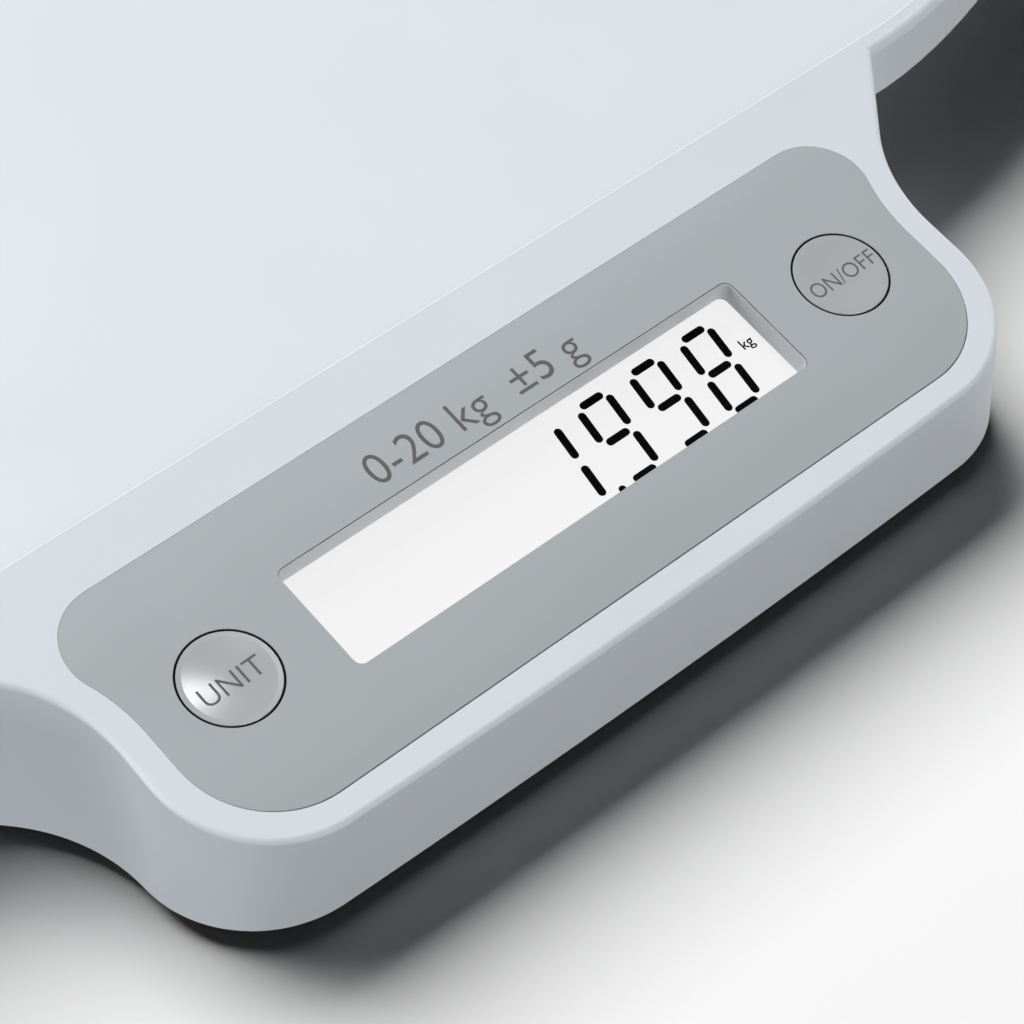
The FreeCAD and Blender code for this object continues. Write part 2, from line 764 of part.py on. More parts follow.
def make_battery_bay():
    """The bay's walls and roof, then what is cut out: its hollow, the door's way and its notches."""
    length, width = door_opening()
    hook_width = width + 2 * v.door_hook_reach + 2 * v.door_fit
    roof = v.floor_gap + v.door_thickness + v.battery_diameter + 2 * v.battery_clearance
    half_l, half_w = length / 2, hook_width / 2
    hollow = block_between((-half_l, tray_y - half_w, floor_top),
                           (half_l, tray_y + half_w, roof))
    half_l += v.bay_wall
    half_w += v.bay_wall
    walls = block_between((-half_l, tray_y - half_w, floor_top - v.floor_thickness / 2),
                          (half_l, tray_y + half_w, roof + v.bay_wall))
    way = length / 2 + v.door_travel
    shelf = block_between(
        (0, tray_y - width / 2 - v.bay_wall, floor_top - v.floor_thickness / 2),
        (way + v.bay_wall, tray_y + width / 2 + v.bay_wall, floor_top + v.bay_wall))
    opening = block_between((-length / 2, tray_y - width / 2, 0),
                            (length / 2, tray_y + width / 2, floor_top + UNDER))
    trough = block_between((0, tray_y - width / 2, 0),
                           (way, tray_y + width / 2, v.floor_gap + v.door_thickness + v.door_fit / 2))
    cuts = [hollow, opening, trough]
    for end in (LEFT, RIGHT):
        x = end * v.door_hook_spacing / 2 + v.door_travel
        half = v.door_hook_length / 2 + v.stack_fit
        cuts.append(block_between((x - half, tray_y - hook_width / 2, 0),
                                  (x + half, tray_y + hook_width / 2, floor_top + UNDER)))
    return [walls, shelf], cuts


def make_bottom_housing():
    """Floor, pedestal walls, screw cups, battery bay and the four round foot openings."""
    clear = v.shell_wall + v.shell_fit
    top = v.tray_height + v.tray_rise + ROOM
    walls = pedestal_prism(0, v.floor_gap, top).common(under_tray(clear))
    hollow = pedestal_prism(v.floor_thickness, floor_top, top).common(
        under_tray(v.shell_wall / 2))
    console_floor = console_block(clear, v.floor_gap, v.tray_height, pedestal_front + ROOM)
    console_floor = console_floor.common(
        block_between((-v.tray_length, front_y, v.floor_gap), (v.tray_length, tray_y, floor_top)))
    doorway = console_block(clear + v.floor_thickness, floor_top, v.tray_height,
                            pedestal_front + v.floor_thickness + UNDER)
    body = walls.cut(hollow).cut(doorway).fuse(console_floor)
    cups, holes = [], []
    for x, y in shell_screw_places():
        cup_top = floor_top + v.cup_height
        cups.append(upright(v.cup_diameter, x, y, v.floor_gap, cup_top))
        holes.append(upright(v.screw_diameter + 2 * v.screw_fit, x, y, 0, cup_top + UNDER))
        head = v.screw_head_diameter + 2 * v.screw_fit
        holes.append(upright(head, x, y, 0, cup_top - v.floor_thickness + v.screw_fit))
    for _, side, end in foot_corners():
        hole = v.foot_diameter + 2 * v.foot_fit
        holes.append(upright(hole, *foot_place(side, end), 0, floor_top + UNDER))
    bay, bay_cuts = make_battery_bay()
    body = body.fuse([*cups, *bay]).cut([*holes, *bay_cuts])
    return shaped(body.removeSplitter(), "bottom_housing")


# ---------------------------------------------------------------- panel and display
def make_overlay_panel():
    """The grey inset panel, with the window and the two button holes."""
    plate = Part.Face(panel_outline(0, -v.panel_thickness)).extrude(Vector(0, 0, v.panel_thickness))
    window = block_between((-v.window_length / 2, -v.window_depth / 2, -ROOM),
                           (v.window_length / 2, v.window_depth / 2, ROOM))
    holes = [upright(v.button_diameter + 2 * v.button_gap, s * v.button_spacing / 2, 0, -ROOM, ROOM)
             for s in (LEFT, RIGHT)]
    panel = shaped(plate.cut([window, *holes]), "overlay_panel")
    panel.Placement = panel_placement()
    return panel


def make_display_bezel():
    """The display's frame: a sleeve up through the shell, and a skirt that holds the glass."""
    sleeve_top = "(-Sizes.panel_thickness)"
    skirt_top = "(-Sizes.shell_wall - Sizes.button_gap)"
    skirt = raised(box("Sizes.bezel_length", "Sizes.bezel_depth",
                       f"Sizes.board_drop + {skirt_top}"), "-Sizes.board_drop")
    sleeve = raised(box("Sizes.window_length + 2 * Sizes.sleeve_wall",
                        "Sizes.window_depth + 2 * Sizes.sleeve_wall",
                        f"{sleeve_top} + Sizes.board_drop"), "-Sizes.board_drop")
    window = raised(box("Sizes.window_length", "Sizes.window_depth", "Sizes.board_drop"),
                    "-Sizes.board_drop")
    pocket = raised(box("Sizes.cell_length + 2 * Sizes.stack_fit",
                        "Sizes.cell_depth + 2 * Sizes.stack_fit",
                        "Sizes.board_drop - Sizes.window_drop"), "-Sizes.board_drop")
    frame = cut(fused(skirt, sleeve), window, pocket)
    return keep(on_panel(frame), "display_bezel")


def make_display_stack():
    """The clear window, the display glass, the backlight and the rubber connector."""
    lens_z = "(-Sizes.window_drop - Sizes.lens_thickness)"
    glass_z = f"({lens_z} - Sizes.cell_thickness)"
    under = f"(Sizes.board_drop + {glass_z})"
    light_depth = "(Sizes.cell_depth - Sizes.zebra_depth - 4 * Sizes.stack_fit)"
    length = "Sizes.cell_length"
    layers = {
        "display_window": (length, "Sizes.cell_depth", "Sizes.lens_thickness", "0", lens_z),
        "lcd_cell": (length, "Sizes.cell_depth", "Sizes.cell_thickness", "0", glass_z),
        "backlight": (length, light_depth, under,
                      f"(Sizes.cell_depth - {light_depth}) / 2", "-Sizes.board_drop"),
        "zebra_strip": (length, "Sizes.zebra_depth", under,
                        "(Sizes.zebra_depth - Sizes.cell_depth) / 2", "-Sizes.board_drop"),
    }
    for name, (long, deep, high, y, z) in layers.items():
        body = new_body(name)
        sketch = new_sketch(body)
        sketch_rectangle(sketch, long, deep)
        pad(body, sketch, high)
        keep(on_panel(body, 0, y, z), name)


def make_board():
    """The circuit board with its four screw holes, its chip and the socket for the wires."""
    body = new_body("main_board")
    sketch = new_sketch(body)
    sketch_rectangle(sketch, "Sizes.board_length", "Sizes.board_depth")
    for side in ("", "-"):
        for end in ("", "-"):
            sketch_circle(sketch, "Sizes.board_screw_diameter + 2 * Sizes.screw_fit",
                          f"{side}Sizes.board_hole_spacing_x / 2",
                          f"{end}Sizes.board_hole_spacing_y / 2")
    pad(body, sketch, "Sizes.board_thickness")
    keep(on_panel(body, 0, 0, "-Sizes.board_drop - Sizes.board_thickness"), "main_board")
    under = "-Sizes.board_drop - Sizes.board_thickness"
    parts = {
        "main_chip": ("Sizes.chip_side", "Sizes.chip_side", "Sizes.chip_height",
                      "-Sizes.board_length / 5", 0),
        "wire_connector": ("Sizes.socket_length", "Sizes.socket_depth", "Sizes.socket_height",
                           0, "Sizes.board_depth / 2 - Sizes.socket_depth"),
    }
    for name, (long, deep, high, x, y) in parts.items():
        body = new_body(name)
        sketch = new_sketch(body)
        sketch_rectangle(sketch, long, deep)
        pad(body, sketch, high)
        keep(on_panel(body, x, y, f"{under} - {high}"), name)


def screw_profile(diameter, length, head_diameter, head_height):
    """Half the section of a round-headed screw that points up, its head's top face at zero."""
    return [(0, 0), (f"{head_diameter} / 2", 0), (f"{head_diameter} / 2", f"{head_height}"),
            (f"{diameter} / 2", f"{head_height}"),
            (f"{diameter} / 2", f"{head_height} + {length}"), (0, f"{head_height} + {length}")]


def make_turned(name, profile):
    """A body turned from a half section of straight edges."""
    body = new_body(name)
    sketch = new_sketch(body, "XZ_Plane")
    sketch_profile(sketch, profile)
    revolve(body, sketch)
    return body


def make_screws():
    """Two groups of identical screws: four in the board and eight between the shells."""
    board = make_turned("board_screw", screw_profile(
        "Sizes.board_screw_diameter", "Sizes.board_screw_length",
        "Sizes.board_screw_head_diameter", "Sizes.board_screw_head_height"))
    shell = make_turned("housing_screw", screw_profile(
        "Sizes.screw_diameter", "Sizes.screw_length",
        "Sizes.screw_head_diameter", "Sizes.screw_head_height"))
    doc.recompute()
    seat = -v.board_drop - v.board_thickness - v.board_screw_head_height
    copies = []
    for x, y in board_hole_places():
        copy = board.Shape.copy()
        copy.Placement = panel_placement(x, y, seat)
        copies.append(copy)
    shaped(Part.makeCompound(copies), "board_screws")
    seat = floor_top + v.cup_height - v.floor_thickness + v.screw_fit - v.screw_head_height
    copies = []
    for x, y in shell_screw_places():
        copy = shell.Shape.copy()
        copy.Placement = Base.Placement(Vector(x, y, seat), Base.Rotation())
        copies.append(copy)
    shaped(Part.makeCompound(copies), "housing_screws")


# ---------------------------------------------------------------- buttons
def make_button(name, side):
    """A round cap with a dished top, a flange that keeps it in and a post for its switch."""
    rise = f"(-{FLANGE_Z})"
    cap = post("Sizes.button_diameter", rise, FLANGE_Z, "cap")
    flange = post("Sizes.button_diameter + 2 * Sizes.button_flange",
                  "Sizes.button_flange_height", FLANGE_Z, "flange")
    stem = post("Sizes.button_post_diameter", "Sizes.button_post_length", POST_Z, "stem")
    dish = doc.addObject("Part::Sphere", "dish")
    radius = ("((Sizes.button_diameter / 2) ^ 2 + Sizes.button_dish ^ 2)"
              " / (2 * Sizes.button_dish)")
    bind(dish, Radius=radius)
    stand(dish, z=f"{radius} - Sizes.button_dish")
    piece = cut(fused(cap, flange, stem), dish)
    return keep(on_panel(piece, f"{side} * Sizes.button_spacing / 2"), f"{name}_button")


def make_switch(name, side):
    """A tactile switch on the board and the stem that slides in it."""
    case = raised(box("Sizes.switch_side", "Sizes.switch_side", "Sizes.switch_height"),
                  "-Sizes.board_drop")
    bore_low = f"{SWITCH_Z} - Sizes.switch_bore_depth"
    bore = post("Sizes.plunger_diameter + 2 * Sizes.plunger_fit",
                "Sizes.switch_bore_depth + Sizes.switch_height", bore_low, "bore")
    keep(on_panel(cut(case, bore), f"{side} * Sizes.button_spacing / 2"), f"{name}_switch")
    low = f"({bore_low} + Sizes.button_travel + Sizes.stack_fit)"
    plunger = make_turned(f"{name}_plunger", [
        (0, 0), ("Sizes.plunger_diameter / 2", 0),
        ("Sizes.plunger_diameter / 2", f"{POST_Z} - {low}"), (0, f"{POST_Z} - {low}")])
    keep(on_panel(plunger, f"{side} * Sizes.button_spacing / 2", 0, low), f"{name}_plunger")


# ---------------------------------------------------------------- feet and load cells
def make_foot(name, side, end):
    """One corner: rubber pad, plastic foot, seat on the floor and stamped load cell."""
    x = f"{side} * (Sizes.pedestal_length / 2 - Sizes.foot_inset_x)"
    y = f"{TRAY_Y} + {end} * (Sizes.pedestal_depth / 2 - Sizes.foot_inset_y)"
    pad_body = make_turned(f"foot_pad_{name}", [
        (0, 0), ("Sizes.pad_diameter / 2 - Sizes.pad_chamfer", 0),
        ("Sizes.pad_diameter / 2", "Sizes.pad_chamfer"),
        ("Sizes.pad_diameter / 2", "Sizes.pad_thickness"), (0, "Sizes.pad_thickness")])
    keep(stand(pad_body, x, y), f"foot_pad_{name}")
    top = f"({LOAD_CELL_Z} - Sizes.pad_thickness)"
    foot = make_turned(f"foot_{name}", [
        (0, 0), ("Sizes.foot_diameter / 2 - Sizes.foot_chamfer", 0),
        ("Sizes.foot_diameter / 2", "Sizes.foot_chamfer"),
        ("Sizes.foot_diameter / 2", "Sizes.foot_height"),
        ("Sizes.foot_boss_diameter / 2", "Sizes.foot_height"),
        ("Sizes.foot_boss_diameter / 2", top), (0, top)])
    keep(stand(foot, x, y, "Sizes.pad_thickness"), f"foot_{name}")
    web = post("Sizes.seat_diameter", "Sizes.seat_height", 0, "seat")
    bore = post("Sizes.foot_boss_diameter + 2 * Sizes.foot_boss_clearance",
                "Sizes.seat_height", 0, "bore")
    room = "Sizes.load_cell_side + 2 * Sizes.foot_fit"
    pocket = raised(box(room, room, "Sizes.seat_height", "pocket"),
                    "Sizes.seat_height - Sizes.load_cell_thickness")
    inner = "Sizes.load_cell_side - 2 * Sizes.load_cell_ledge"
    well = raised(box(inner, inner, "Sizes.seat_height", "well"), "Sizes.seat_web")
    keep(stand(cut(web, bore, pocket, well), x, y, FLOOR_TOP), f"cell_seat_{name}")
    keep(stand(make_load_cell(), x, y, LOAD_CELL_Z), f"load_cell_{name}")


def make_load_cell():
    """A square steel plate with a U-shaped slot that frees the tongue over the foot."""
    plate = box("Sizes.load_cell_side", "Sizes.load_cell_side", "Sizes.load_cell_thickness")
    outer, inner = "Sizes.load_cell_ring", "Sizes.load_cell_ring - 2 * Sizes.load_cell_slot"
    ring = box(outer, outer, "Sizes.load_cell_thickness")
    tongue = box(inner, inner, "Sizes.load_cell_thickness")
    strip = box(inner, "Sizes.load_cell_tongue", "Sizes.load_cell_thickness")
    shifted(strip, "y", "Sizes.load_cell_tongue", "Sizes.load_cell_tongue / 2")
    return cut(plate, cut(ring, fused(tongue, strip)))


# ---------------------------------------------------------------- battery bay
def make_batteries():
    """Four AAA cells side by side: a can and the small pole at one end."""
    can_l = "(Sizes.battery_length - Sizes.pole_length)"
    can = [(0, 0), ("Sizes.battery_diameter / 2", 0), ("Sizes.battery_diameter / 2", can_l),
           ("Sizes.pole_diameter / 2", can_l), ("Sizes.pole_diameter / 2", "Sizes.battery_length"),
           (0, "Sizes.battery_length")]
    for k in range(BATTERIES):
        body = make_turned(f"battery_{k + 1}", can)
        turn = 90 if k % 2 == 0 else -90
        body.Placement = Base.Placement(Vector(), Base.Rotation(Vector(0, 1, 0), turn))
        start = "-" if turn > 0 else ""
        shift = f"{k - (BATTERIES - 1) / 2} * Sizes.battery_pitch"
        stand(body, f"{start}Sizes.battery_length / 2", f"{TRAY_Y} + {shift}", BATTERY_Z)
        keep(body, f"battery_{k + 1}")


def make_contacts():
    """A springy metal strip behind each end of each cell, standing against the bay's wall."""
    length, _ = door_opening()
    height = v.contact_height
    wide = v.contact_width
    z = v.floor_gap + v.door_thickness + v.battery_clearance + v.battery_diameter / 2 - height / 2
    groups = {"positive_contacts": [], "negative_contacts": []}
    for k in range(BATTERIES):
        y = tray_y + (k - (BATTERIES - 1) / 2) * v.battery_pitch
        for side in (LEFT, RIGHT):
            wall = side * (length / 2 - v.stack_fit)
            face = side * (v.battery_length / 2 + v.stack_fit)
            plate = block_between(
                (min(wall, wall - side * v.contact_thickness), y - wide / 2, z),
                (max(wall, wall - side * v.contact_thickness), y + wide / 2, z + height))
            nose = block_between(
                (min(wall, face), y - wide / 4, z + height / 2 - v.contact_thickness),
                (max(wall, face), y + wide / 4, z + height / 2 + v.contact_thickness))
            positive = (side == RIGHT) == (k % 2 == 0)
            groups["positive_contacts" if positive else "negative_contacts"].append(plate.fuse(nose))
    for name, solids in groups.items():
        shaped(Part.makeCompound(solids), name)


def make_battery_door():
    """The sliding cover: a flush plate with a finger groove and four hooks over the floor."""
    plate = box("Sizes.door_length", "Sizes.door_width", "Sizes.door_thickness", "plate")
    groove = box("Sizes.groove_length", "Sizes.groove_width", "Sizes.groove_depth", "groove")
    shifted(groove, "x", "Sizes.groove_length", "Sizes.groove_offset")
    hooks = []
    reach = "(Sizes.door_hook_reach + Sizes.door_fit)"
    rise = "(Sizes.floor_thickness + Sizes.door_fit / 2)"
    for end in ("", "-"):
        for side in ("", "-"):
            x = f"{end}Sizes.door_hook_spacing / 2"
            middle = "Sizes.door_width / 2 - Sizes.door_hook_riser / 2"
            riser = box("Sizes.door_hook_length", "Sizes.door_hook_riser",
                        f"{rise} + Sizes.door_hook_thickness")
            shifted(riser, "x", "Sizes.door_hook_length", x)
            shifted(riser, "y", "Sizes.door_hook_riser", f"{side}({middle})")
            across = f"Sizes.door_hook_riser + {reach}"
            hook = box("Sizes.door_hook_length", across, "Sizes.door_hook_thickness")
            shifted(hook, "x", "Sizes.door_hook_length", x)
            shifted(hook, "y", across, f"{side}({middle} + {reach} / 2)")
            raised(hook, rise)
            hooks += [riser, hook]
    door = cut(fused(plate, *hooks), groove)
    keep(stand(door, 0, TRAY_Y, "Sizes.floor_gap"), "battery_door")


# ---------------------------------------------------------------- wires
def wire_path(points):
    """Straight runs joined by tangent arcs, each as large as its two runs allow."""
    edges, last, radii = [], points[0], []
    for before, corner, after in zip(points, points[1:], points[2:]):
        one, two = (before - corner), (after - corner)
        turn = math.pi - one.getAngle(two)
        run = 0.45 * min(one.Length, two.Length)
        radii.append(run / math.tan(turn / 2))
        one.normalize()
        two.normalize()
        start, end = corner + one * run, corner + two * run
        bisector = (one + two).normalize()
        middle = corner + bisector * (radii[-1] / math.cos(turn / 2) - radii[-1])
        edges += [Part.LineSegment(last, start).toShape(), arc(start, middle, end)]
        last = end
    edges.append(Part.LineSegment(last, points[-1]).toShape())
    return Part.Wire(edges), radii


def make_wire(name, points, diameter):
    """A wire along its route."""
    path, radii = wire_path([Vector(*point) for point in points])
    start = path.Edges[0]
    ring = Part.Circle(start.valueAt(start.FirstParameter), start.tangentAt(start.FirstParameter),
                       diameter / 2)
    solid = path.makePipeShell([Part.Wire(ring.toShape())], True, False)
    expected = math.pi * diameter**2 / 4 * path.Length
    print(f"{name}: length {path.Length:.0f}, smallest radius {min(radii):.1f}, "
          f"volume {solid.Volume / expected:.3f} of section times length")
    shaped(solid, name)


def socket_point(number, back):
    """A place behind the wire socket under the board, in the scale's frame."""
    pitch = v.socket_length / 6
    low = -v.board_drop - v.board_thickness - v.socket_height / 2
    place = Vector((number - 2) * pitch, v.board_depth / 2 - v.socket_depth / 2 + back, low)
    return panel_placement().multVec(place)


def make_wires():
    """A wire from each load cell, and the battery lead, along the floor to the socket."""
    lie = floor_top + v.wire_diameter / 2 + v.stack_fit
    over = seat_top + v.wire_diameter / 2 + v.stack_fit
    bay_length, bay_width = door_opening()
    lane = bay_length / 2 + v.door_travel + v.bay_wall + v.wire_lane_gap
    numbers = {"front_left": 0, "back_left": 1, "front_right": 4, "back_right": 3}
    edge = v.seat_diameter / 2
    for name, side, end in foot_corners():
        x, y = foot_place(side, end)
        own = lane + (0 if end == BACK else v.wire_lane_pitch)
        plug, back_off, low_back = (
            socket_point(numbers[name], back)
            for back in (v.stack_fit, v.wire_exit, 2 * v.wire_exit))
        bend = y - v.wire_turn
        gate = min(low_back.y + 3 * v.wire_exit, bend - v.wire_exit)
        points = [(x - side * v.load_cell_side / 4, y, over),
                  (x - side * (edge + v.wire_lane_gap), y, over),
                  (x - side * (edge + v.wire_turn), y, lie),
                  (side * (own + v.wire_turn), y, lie), (side * own, bend, lie)]
        if end == BACK:
            points += [(side * own, bend - (bend - gate) / 3, lie),
                       (side * (own + 1), bend - 2 * (bend - gate) / 3, lie)]
        points += [(side * own, gate, lie),
                   (low_back.x, low_back.y, lie + v.lead_offset / 2), tuple(back_off), tuple(plug)]
        make_wire(f"cell_wire_{name}", points, v.wire_diameter)
    lie = floor_top + v.lead_diameter / 2 + v.stack_fit
    plug, back_off, low_back = (
        socket_point(2, back) for back in (v.stack_fit, v.wire_exit, 2 * v.wire_exit))
    outer = tray_y - bay_width / 2 - v.door_hook_reach - v.door_fit - v.bay_wall
    aside = v.lead_offset
    points = [(aside, outer - 2 * v.door_fit, lie + aside),
              (aside, outer - v.lead_step, lie + aside / 2),
              (aside / 2, outer - v.wire_turn, lie),
              (low_back.x, low_back.y, lie + aside / 2), tuple(back_off), tuple(plug)]
    make_wire("battery_lead", points, v.lead_diameter)


# ---------------------------------------------------------------- build, check and write
def build():
    make_top_shell()
    make_bottom_housing()
    make_overlay_panel()
    make_display_bezel()
    make_display_stack()
    make_board()
    make_screws()
    for name, side in (("unit", LEFT), ("power", RIGHT)):
        make_button(name, side)
        make_switch(name, side)
    for name, side, end in foot_corners():
        make_foot(name, side, end)
    make_batteries()
    make_contacts()
    make_battery_door()
    make_wires()
    doc.recompute()


def check_and_write():
    """Stops if any object failed, then writes each piece to its own file."""
    for thing in doc.Objects:
        faults = {"Invalid", "Error"} & set(thing.State)
        if faults:
            raise RuntimeError(f"{thing.Name} ({thing.Label}): {sorted(faults)}")
    for name, piece in pieces.items():
        if piece.Shape.isNull() or not piece.Shape.isValid() or not piece.Shape.Solids:
            raise RuntimeError(f"{name}: no valid solid")
    os.makedirs("parts", exist_ok=True)
    for name, piece in pieces.items():
        piece.Shape.exportStep(f"parts/{name}.step")
    print(f"{len(pieces)} pieces written")


build()
check_and_write()
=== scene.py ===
# %% [markdown]
# # A scale for weighing a baby
#
# The scale is one wide white tray with a small sloping console at its front. A grey panel is
# let into the slope. It carries a display and two round buttons.
#
# The solids come from the CAD model, which is loaded first as a fixed frame. This lesson adds
# what the eye expects: rounded edges, lettering, lit glass and plastics with a fine surface.
# Every new piece is placed by the same measurements as the solid that it stands for.

# %% Load the frame
import math

import bmesh
import bpy
from mathutils import Matrix, Vector


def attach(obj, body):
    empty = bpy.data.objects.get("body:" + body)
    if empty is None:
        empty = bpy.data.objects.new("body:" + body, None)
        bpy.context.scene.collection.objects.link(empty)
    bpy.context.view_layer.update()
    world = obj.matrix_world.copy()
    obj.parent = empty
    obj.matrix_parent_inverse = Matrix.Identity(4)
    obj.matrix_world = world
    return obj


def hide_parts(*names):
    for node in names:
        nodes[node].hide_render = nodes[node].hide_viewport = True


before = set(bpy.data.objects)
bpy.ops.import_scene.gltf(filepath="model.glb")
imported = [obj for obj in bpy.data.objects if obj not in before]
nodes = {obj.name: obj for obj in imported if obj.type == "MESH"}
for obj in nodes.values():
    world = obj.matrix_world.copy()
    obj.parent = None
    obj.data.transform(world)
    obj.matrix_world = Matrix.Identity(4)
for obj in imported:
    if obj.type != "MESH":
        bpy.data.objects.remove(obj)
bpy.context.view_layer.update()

# %% [markdown]
# ## The camera
#
# The camera looks down at the console from its front left. A camera can be aimed with a
# tracking constraint or with angles. Here two of its directions are given as vectors and the
# third follows from them, because a matrix made of all three holds the small roll as well.

# %% Camera
SENSOR = 36.0
LENS = 120.145
NEAREST = 0.01
CAMERA_PLACE = Vector((-0.24774711, -0.408349, 0.43102335))
CAMERA_RIGHT = Vector((0.7471938, -0.6646032, 0.00200501))
CAMERA_UP = Vector((0.49626092, 0.55993314, 0.66347568))

bpy.ops.object.select_all(action="DESELECT")
bpy.ops.object.camera_add()
camera = bpy.context.object
camera.data.sensor_width = SENSOR
camera.data.lens = LENS
camera.data.clip_start = NEAREST
camera_back = CAMERA_RIGHT.cross(CAMERA_UP)
turn = Matrix((CAMERA_RIGHT, CAMERA_UP, camera_back)).transposed().to_4x4()
camera.matrix_world = Matrix.Translation(CAMERA_PLACE) @ turn
bpy.context.scene.camera = camera
print("camera looks along", [round(-c, 3) for c in camera_back])

# %% [markdown]
# ## The floor and the lamps
#
# The scale stands on a pale floor under a large lamp behind it. A weaker lamp above and three
# low ones fill the shaded walls. They would wash out the soft dark shadow in front of the
# scale, so light linking gives them to the scale alone, and the floor has one lamp to itself.
# The floor throws no light back, so its bright parts don't show on the scale's walls.
# A small lamp that only shows in gloss draws the glint on a button.

# %% Floor and lamps
FLOOR_HALF = 3.0
LAMP_TARGET = Vector((0.0, -0.10, 0.03))
LAMP_FAR = 3.4
LAMP_WIDE, FLOOR_LAMP_WIDE = 1.8, 2.6
FLOOR_LAMP = (-0.02, 0.66, 0.75)
FLOOR_LAMP_LEVEL = 2.6
SCALE_LAMPS = (("key_lamp", (-0.04, 0.70, 0.72), 0.84),
               ("top_lamp", (0.0, -0.17, 0.98), 0.27),
               ("left_lamp", (-0.90, 0.42, 0.12), 0.84),
               ("right_lamp", (0.98, 0.17, 0.12), 0.36),
               ("front_lamp", (0.0, -0.99, 0.12), 0.63))
GLINT_TARGET = Vector((-0.065, -0.1404, 0.0307))
GLINT_LAMP = (0.451, 0.157, 0.879)
GLINT_FAR, GLINT_WIDE, GLINT_LEVEL = 0.45, 0.036, 0.06


def lamp(name, direction, level, wide, distance=LAMP_FAR, target=LAMP_TARGET):
    """A square lamp aimed at a place. At level 1 a white sheet that faces it is drawn white."""
    bpy.ops.object.light_add(type="AREA")
    light = bpy.context.object
    light.name = name
    light.data.shape = "SQUARE"
    light.data.size = wide
    light.data.energy = level * (math.pi * distance) ** 2
    towards = Vector(direction).normalized()
    light.location = target + towards * distance
    light.rotation_euler = towards.to_track_quat("Z", "Y").to_euler()
    return light


def link_to_floor(light, state):
    """Makes a lamp light the floor alone, or everything but the floor."""
    receivers = bpy.data.collections.new(light.name + "_receivers")
    receivers.objects.link(floor)
    receivers.collection_objects[0].light_linking.link_state = state
    light.light_linking.receiver_collection = receivers


bpy.ops.mesh.primitive_plane_add(size=2 * FLOOR_HALF, location=(0, 0, 0))
floor = bpy.context.object
floor.name = "floor"
floor.visible_diffuse = False

link_to_floor(lamp("floor_lamp", FLOOR_LAMP, FLOOR_LAMP_LEVEL, FLOOR_LAMP_WIDE), "INCLUDE")
for name, direction, strength in SCALE_LAMPS:
    link_to_floor(lamp(name, direction, strength, LAMP_WIDE), "EXCLUDE")
glint = lamp("glint_lamp", GLINT_LAMP, GLINT_LEVEL, GLINT_WIDE, GLINT_FAR, GLINT_TARGET)
glint.visible_diffuse = False
link_to_floor(glint, "EXCLUDE")

# %% [markdown]
# ## The world
#
# A white backdrop could be a lit sheet, but its light would fall on the scale too. So the
# world gives little light and is white only to rays that look at the background: those from
# the camera, and those that come by way of a gloss or through clear plastic.

# %% World
SKY = (0.98, 0.99, 1.0, 1.0)
WORLD_LIGHT = 0.02


def math_node(tree, operation, first, second):
    """Joins two sockets by a sum, a product or the like, and gives the socket with the result."""
    node = tree.nodes.new("ShaderNodeMath")
    node.operation = operation
    tree.links.new(first, node.inputs[0])
    tree.links.new(second, node.inputs[1])
    return node.outputs[0]


def map_range(tree, value, start, end, low, high, kind="LINEAR"):
    """Stretches a value from one range to another."""
    node = tree.nodes.new("ShaderNodeMapRange")
    node.interpolation_type = kind
    for name, number in zip(("From Min", "From Max", "To Min", "To Max"), (start, end, low, high)):
        node.inputs[name].default_value = number
    tree.links.new(value, node.inputs["Value"])
    return node.outputs[0]


def background_rays(tree):
    """1 for rays that look at the background: from the camera, or by way of metal or glass."""
    path = tree.nodes.new("ShaderNodeLightPath").outputs
    seen = math_node(tree, "MAXIMUM", path["Is Camera Ray"], path["Is Glossy Ray"])
    return math_node(tree, "MAXIMUM", seen, path["Is Transmission Ray"])


world = bpy.data.worlds.new("studio")
bpy.context.scene.world = world
world.use_nodes = True
bpy.context.scene.view_settings.view_transform = "Standard"
tree = world.node_tree
sky = tree.nodes["Background"]
sky.inputs["Color"].default_value = SKY
white_at = map_range(tree, background_rays(tree), 0.0, 1.0, WORLD_LIGHT, 1.0)
tree.links.new(white_at, sky.inputs["Strength"])
print("world nodes:", len(tree.nodes))

# %% [markdown]
# ## Finishes
#
# A moulded plastic is never one flat colour. It has a slow drift in its shade, a fine grain
# from the mould, and a gloss that changes a little from place to place. All three can come
# from noise read in the object's own coordinates, so they stay on the surface when a piece
# moves, and keep their size in millimetres on every piece.

# %% Material helpers
MM = 0.001
NOISE_LOW, NOISE_HIGH = 0.3, 0.7
SMOOTHEST = 0.02
MIX_FIRST, MIX_SECOND, MIX_RESULT = 6, 7, 2
SOCKETS = {"opacity": "Alpha", "glow": "Emission Strength", "glow_colour": "Emission Color",
           "metal": "Metallic", "clear": "Transmission Weight", "shine": "Specular IOR Level"}


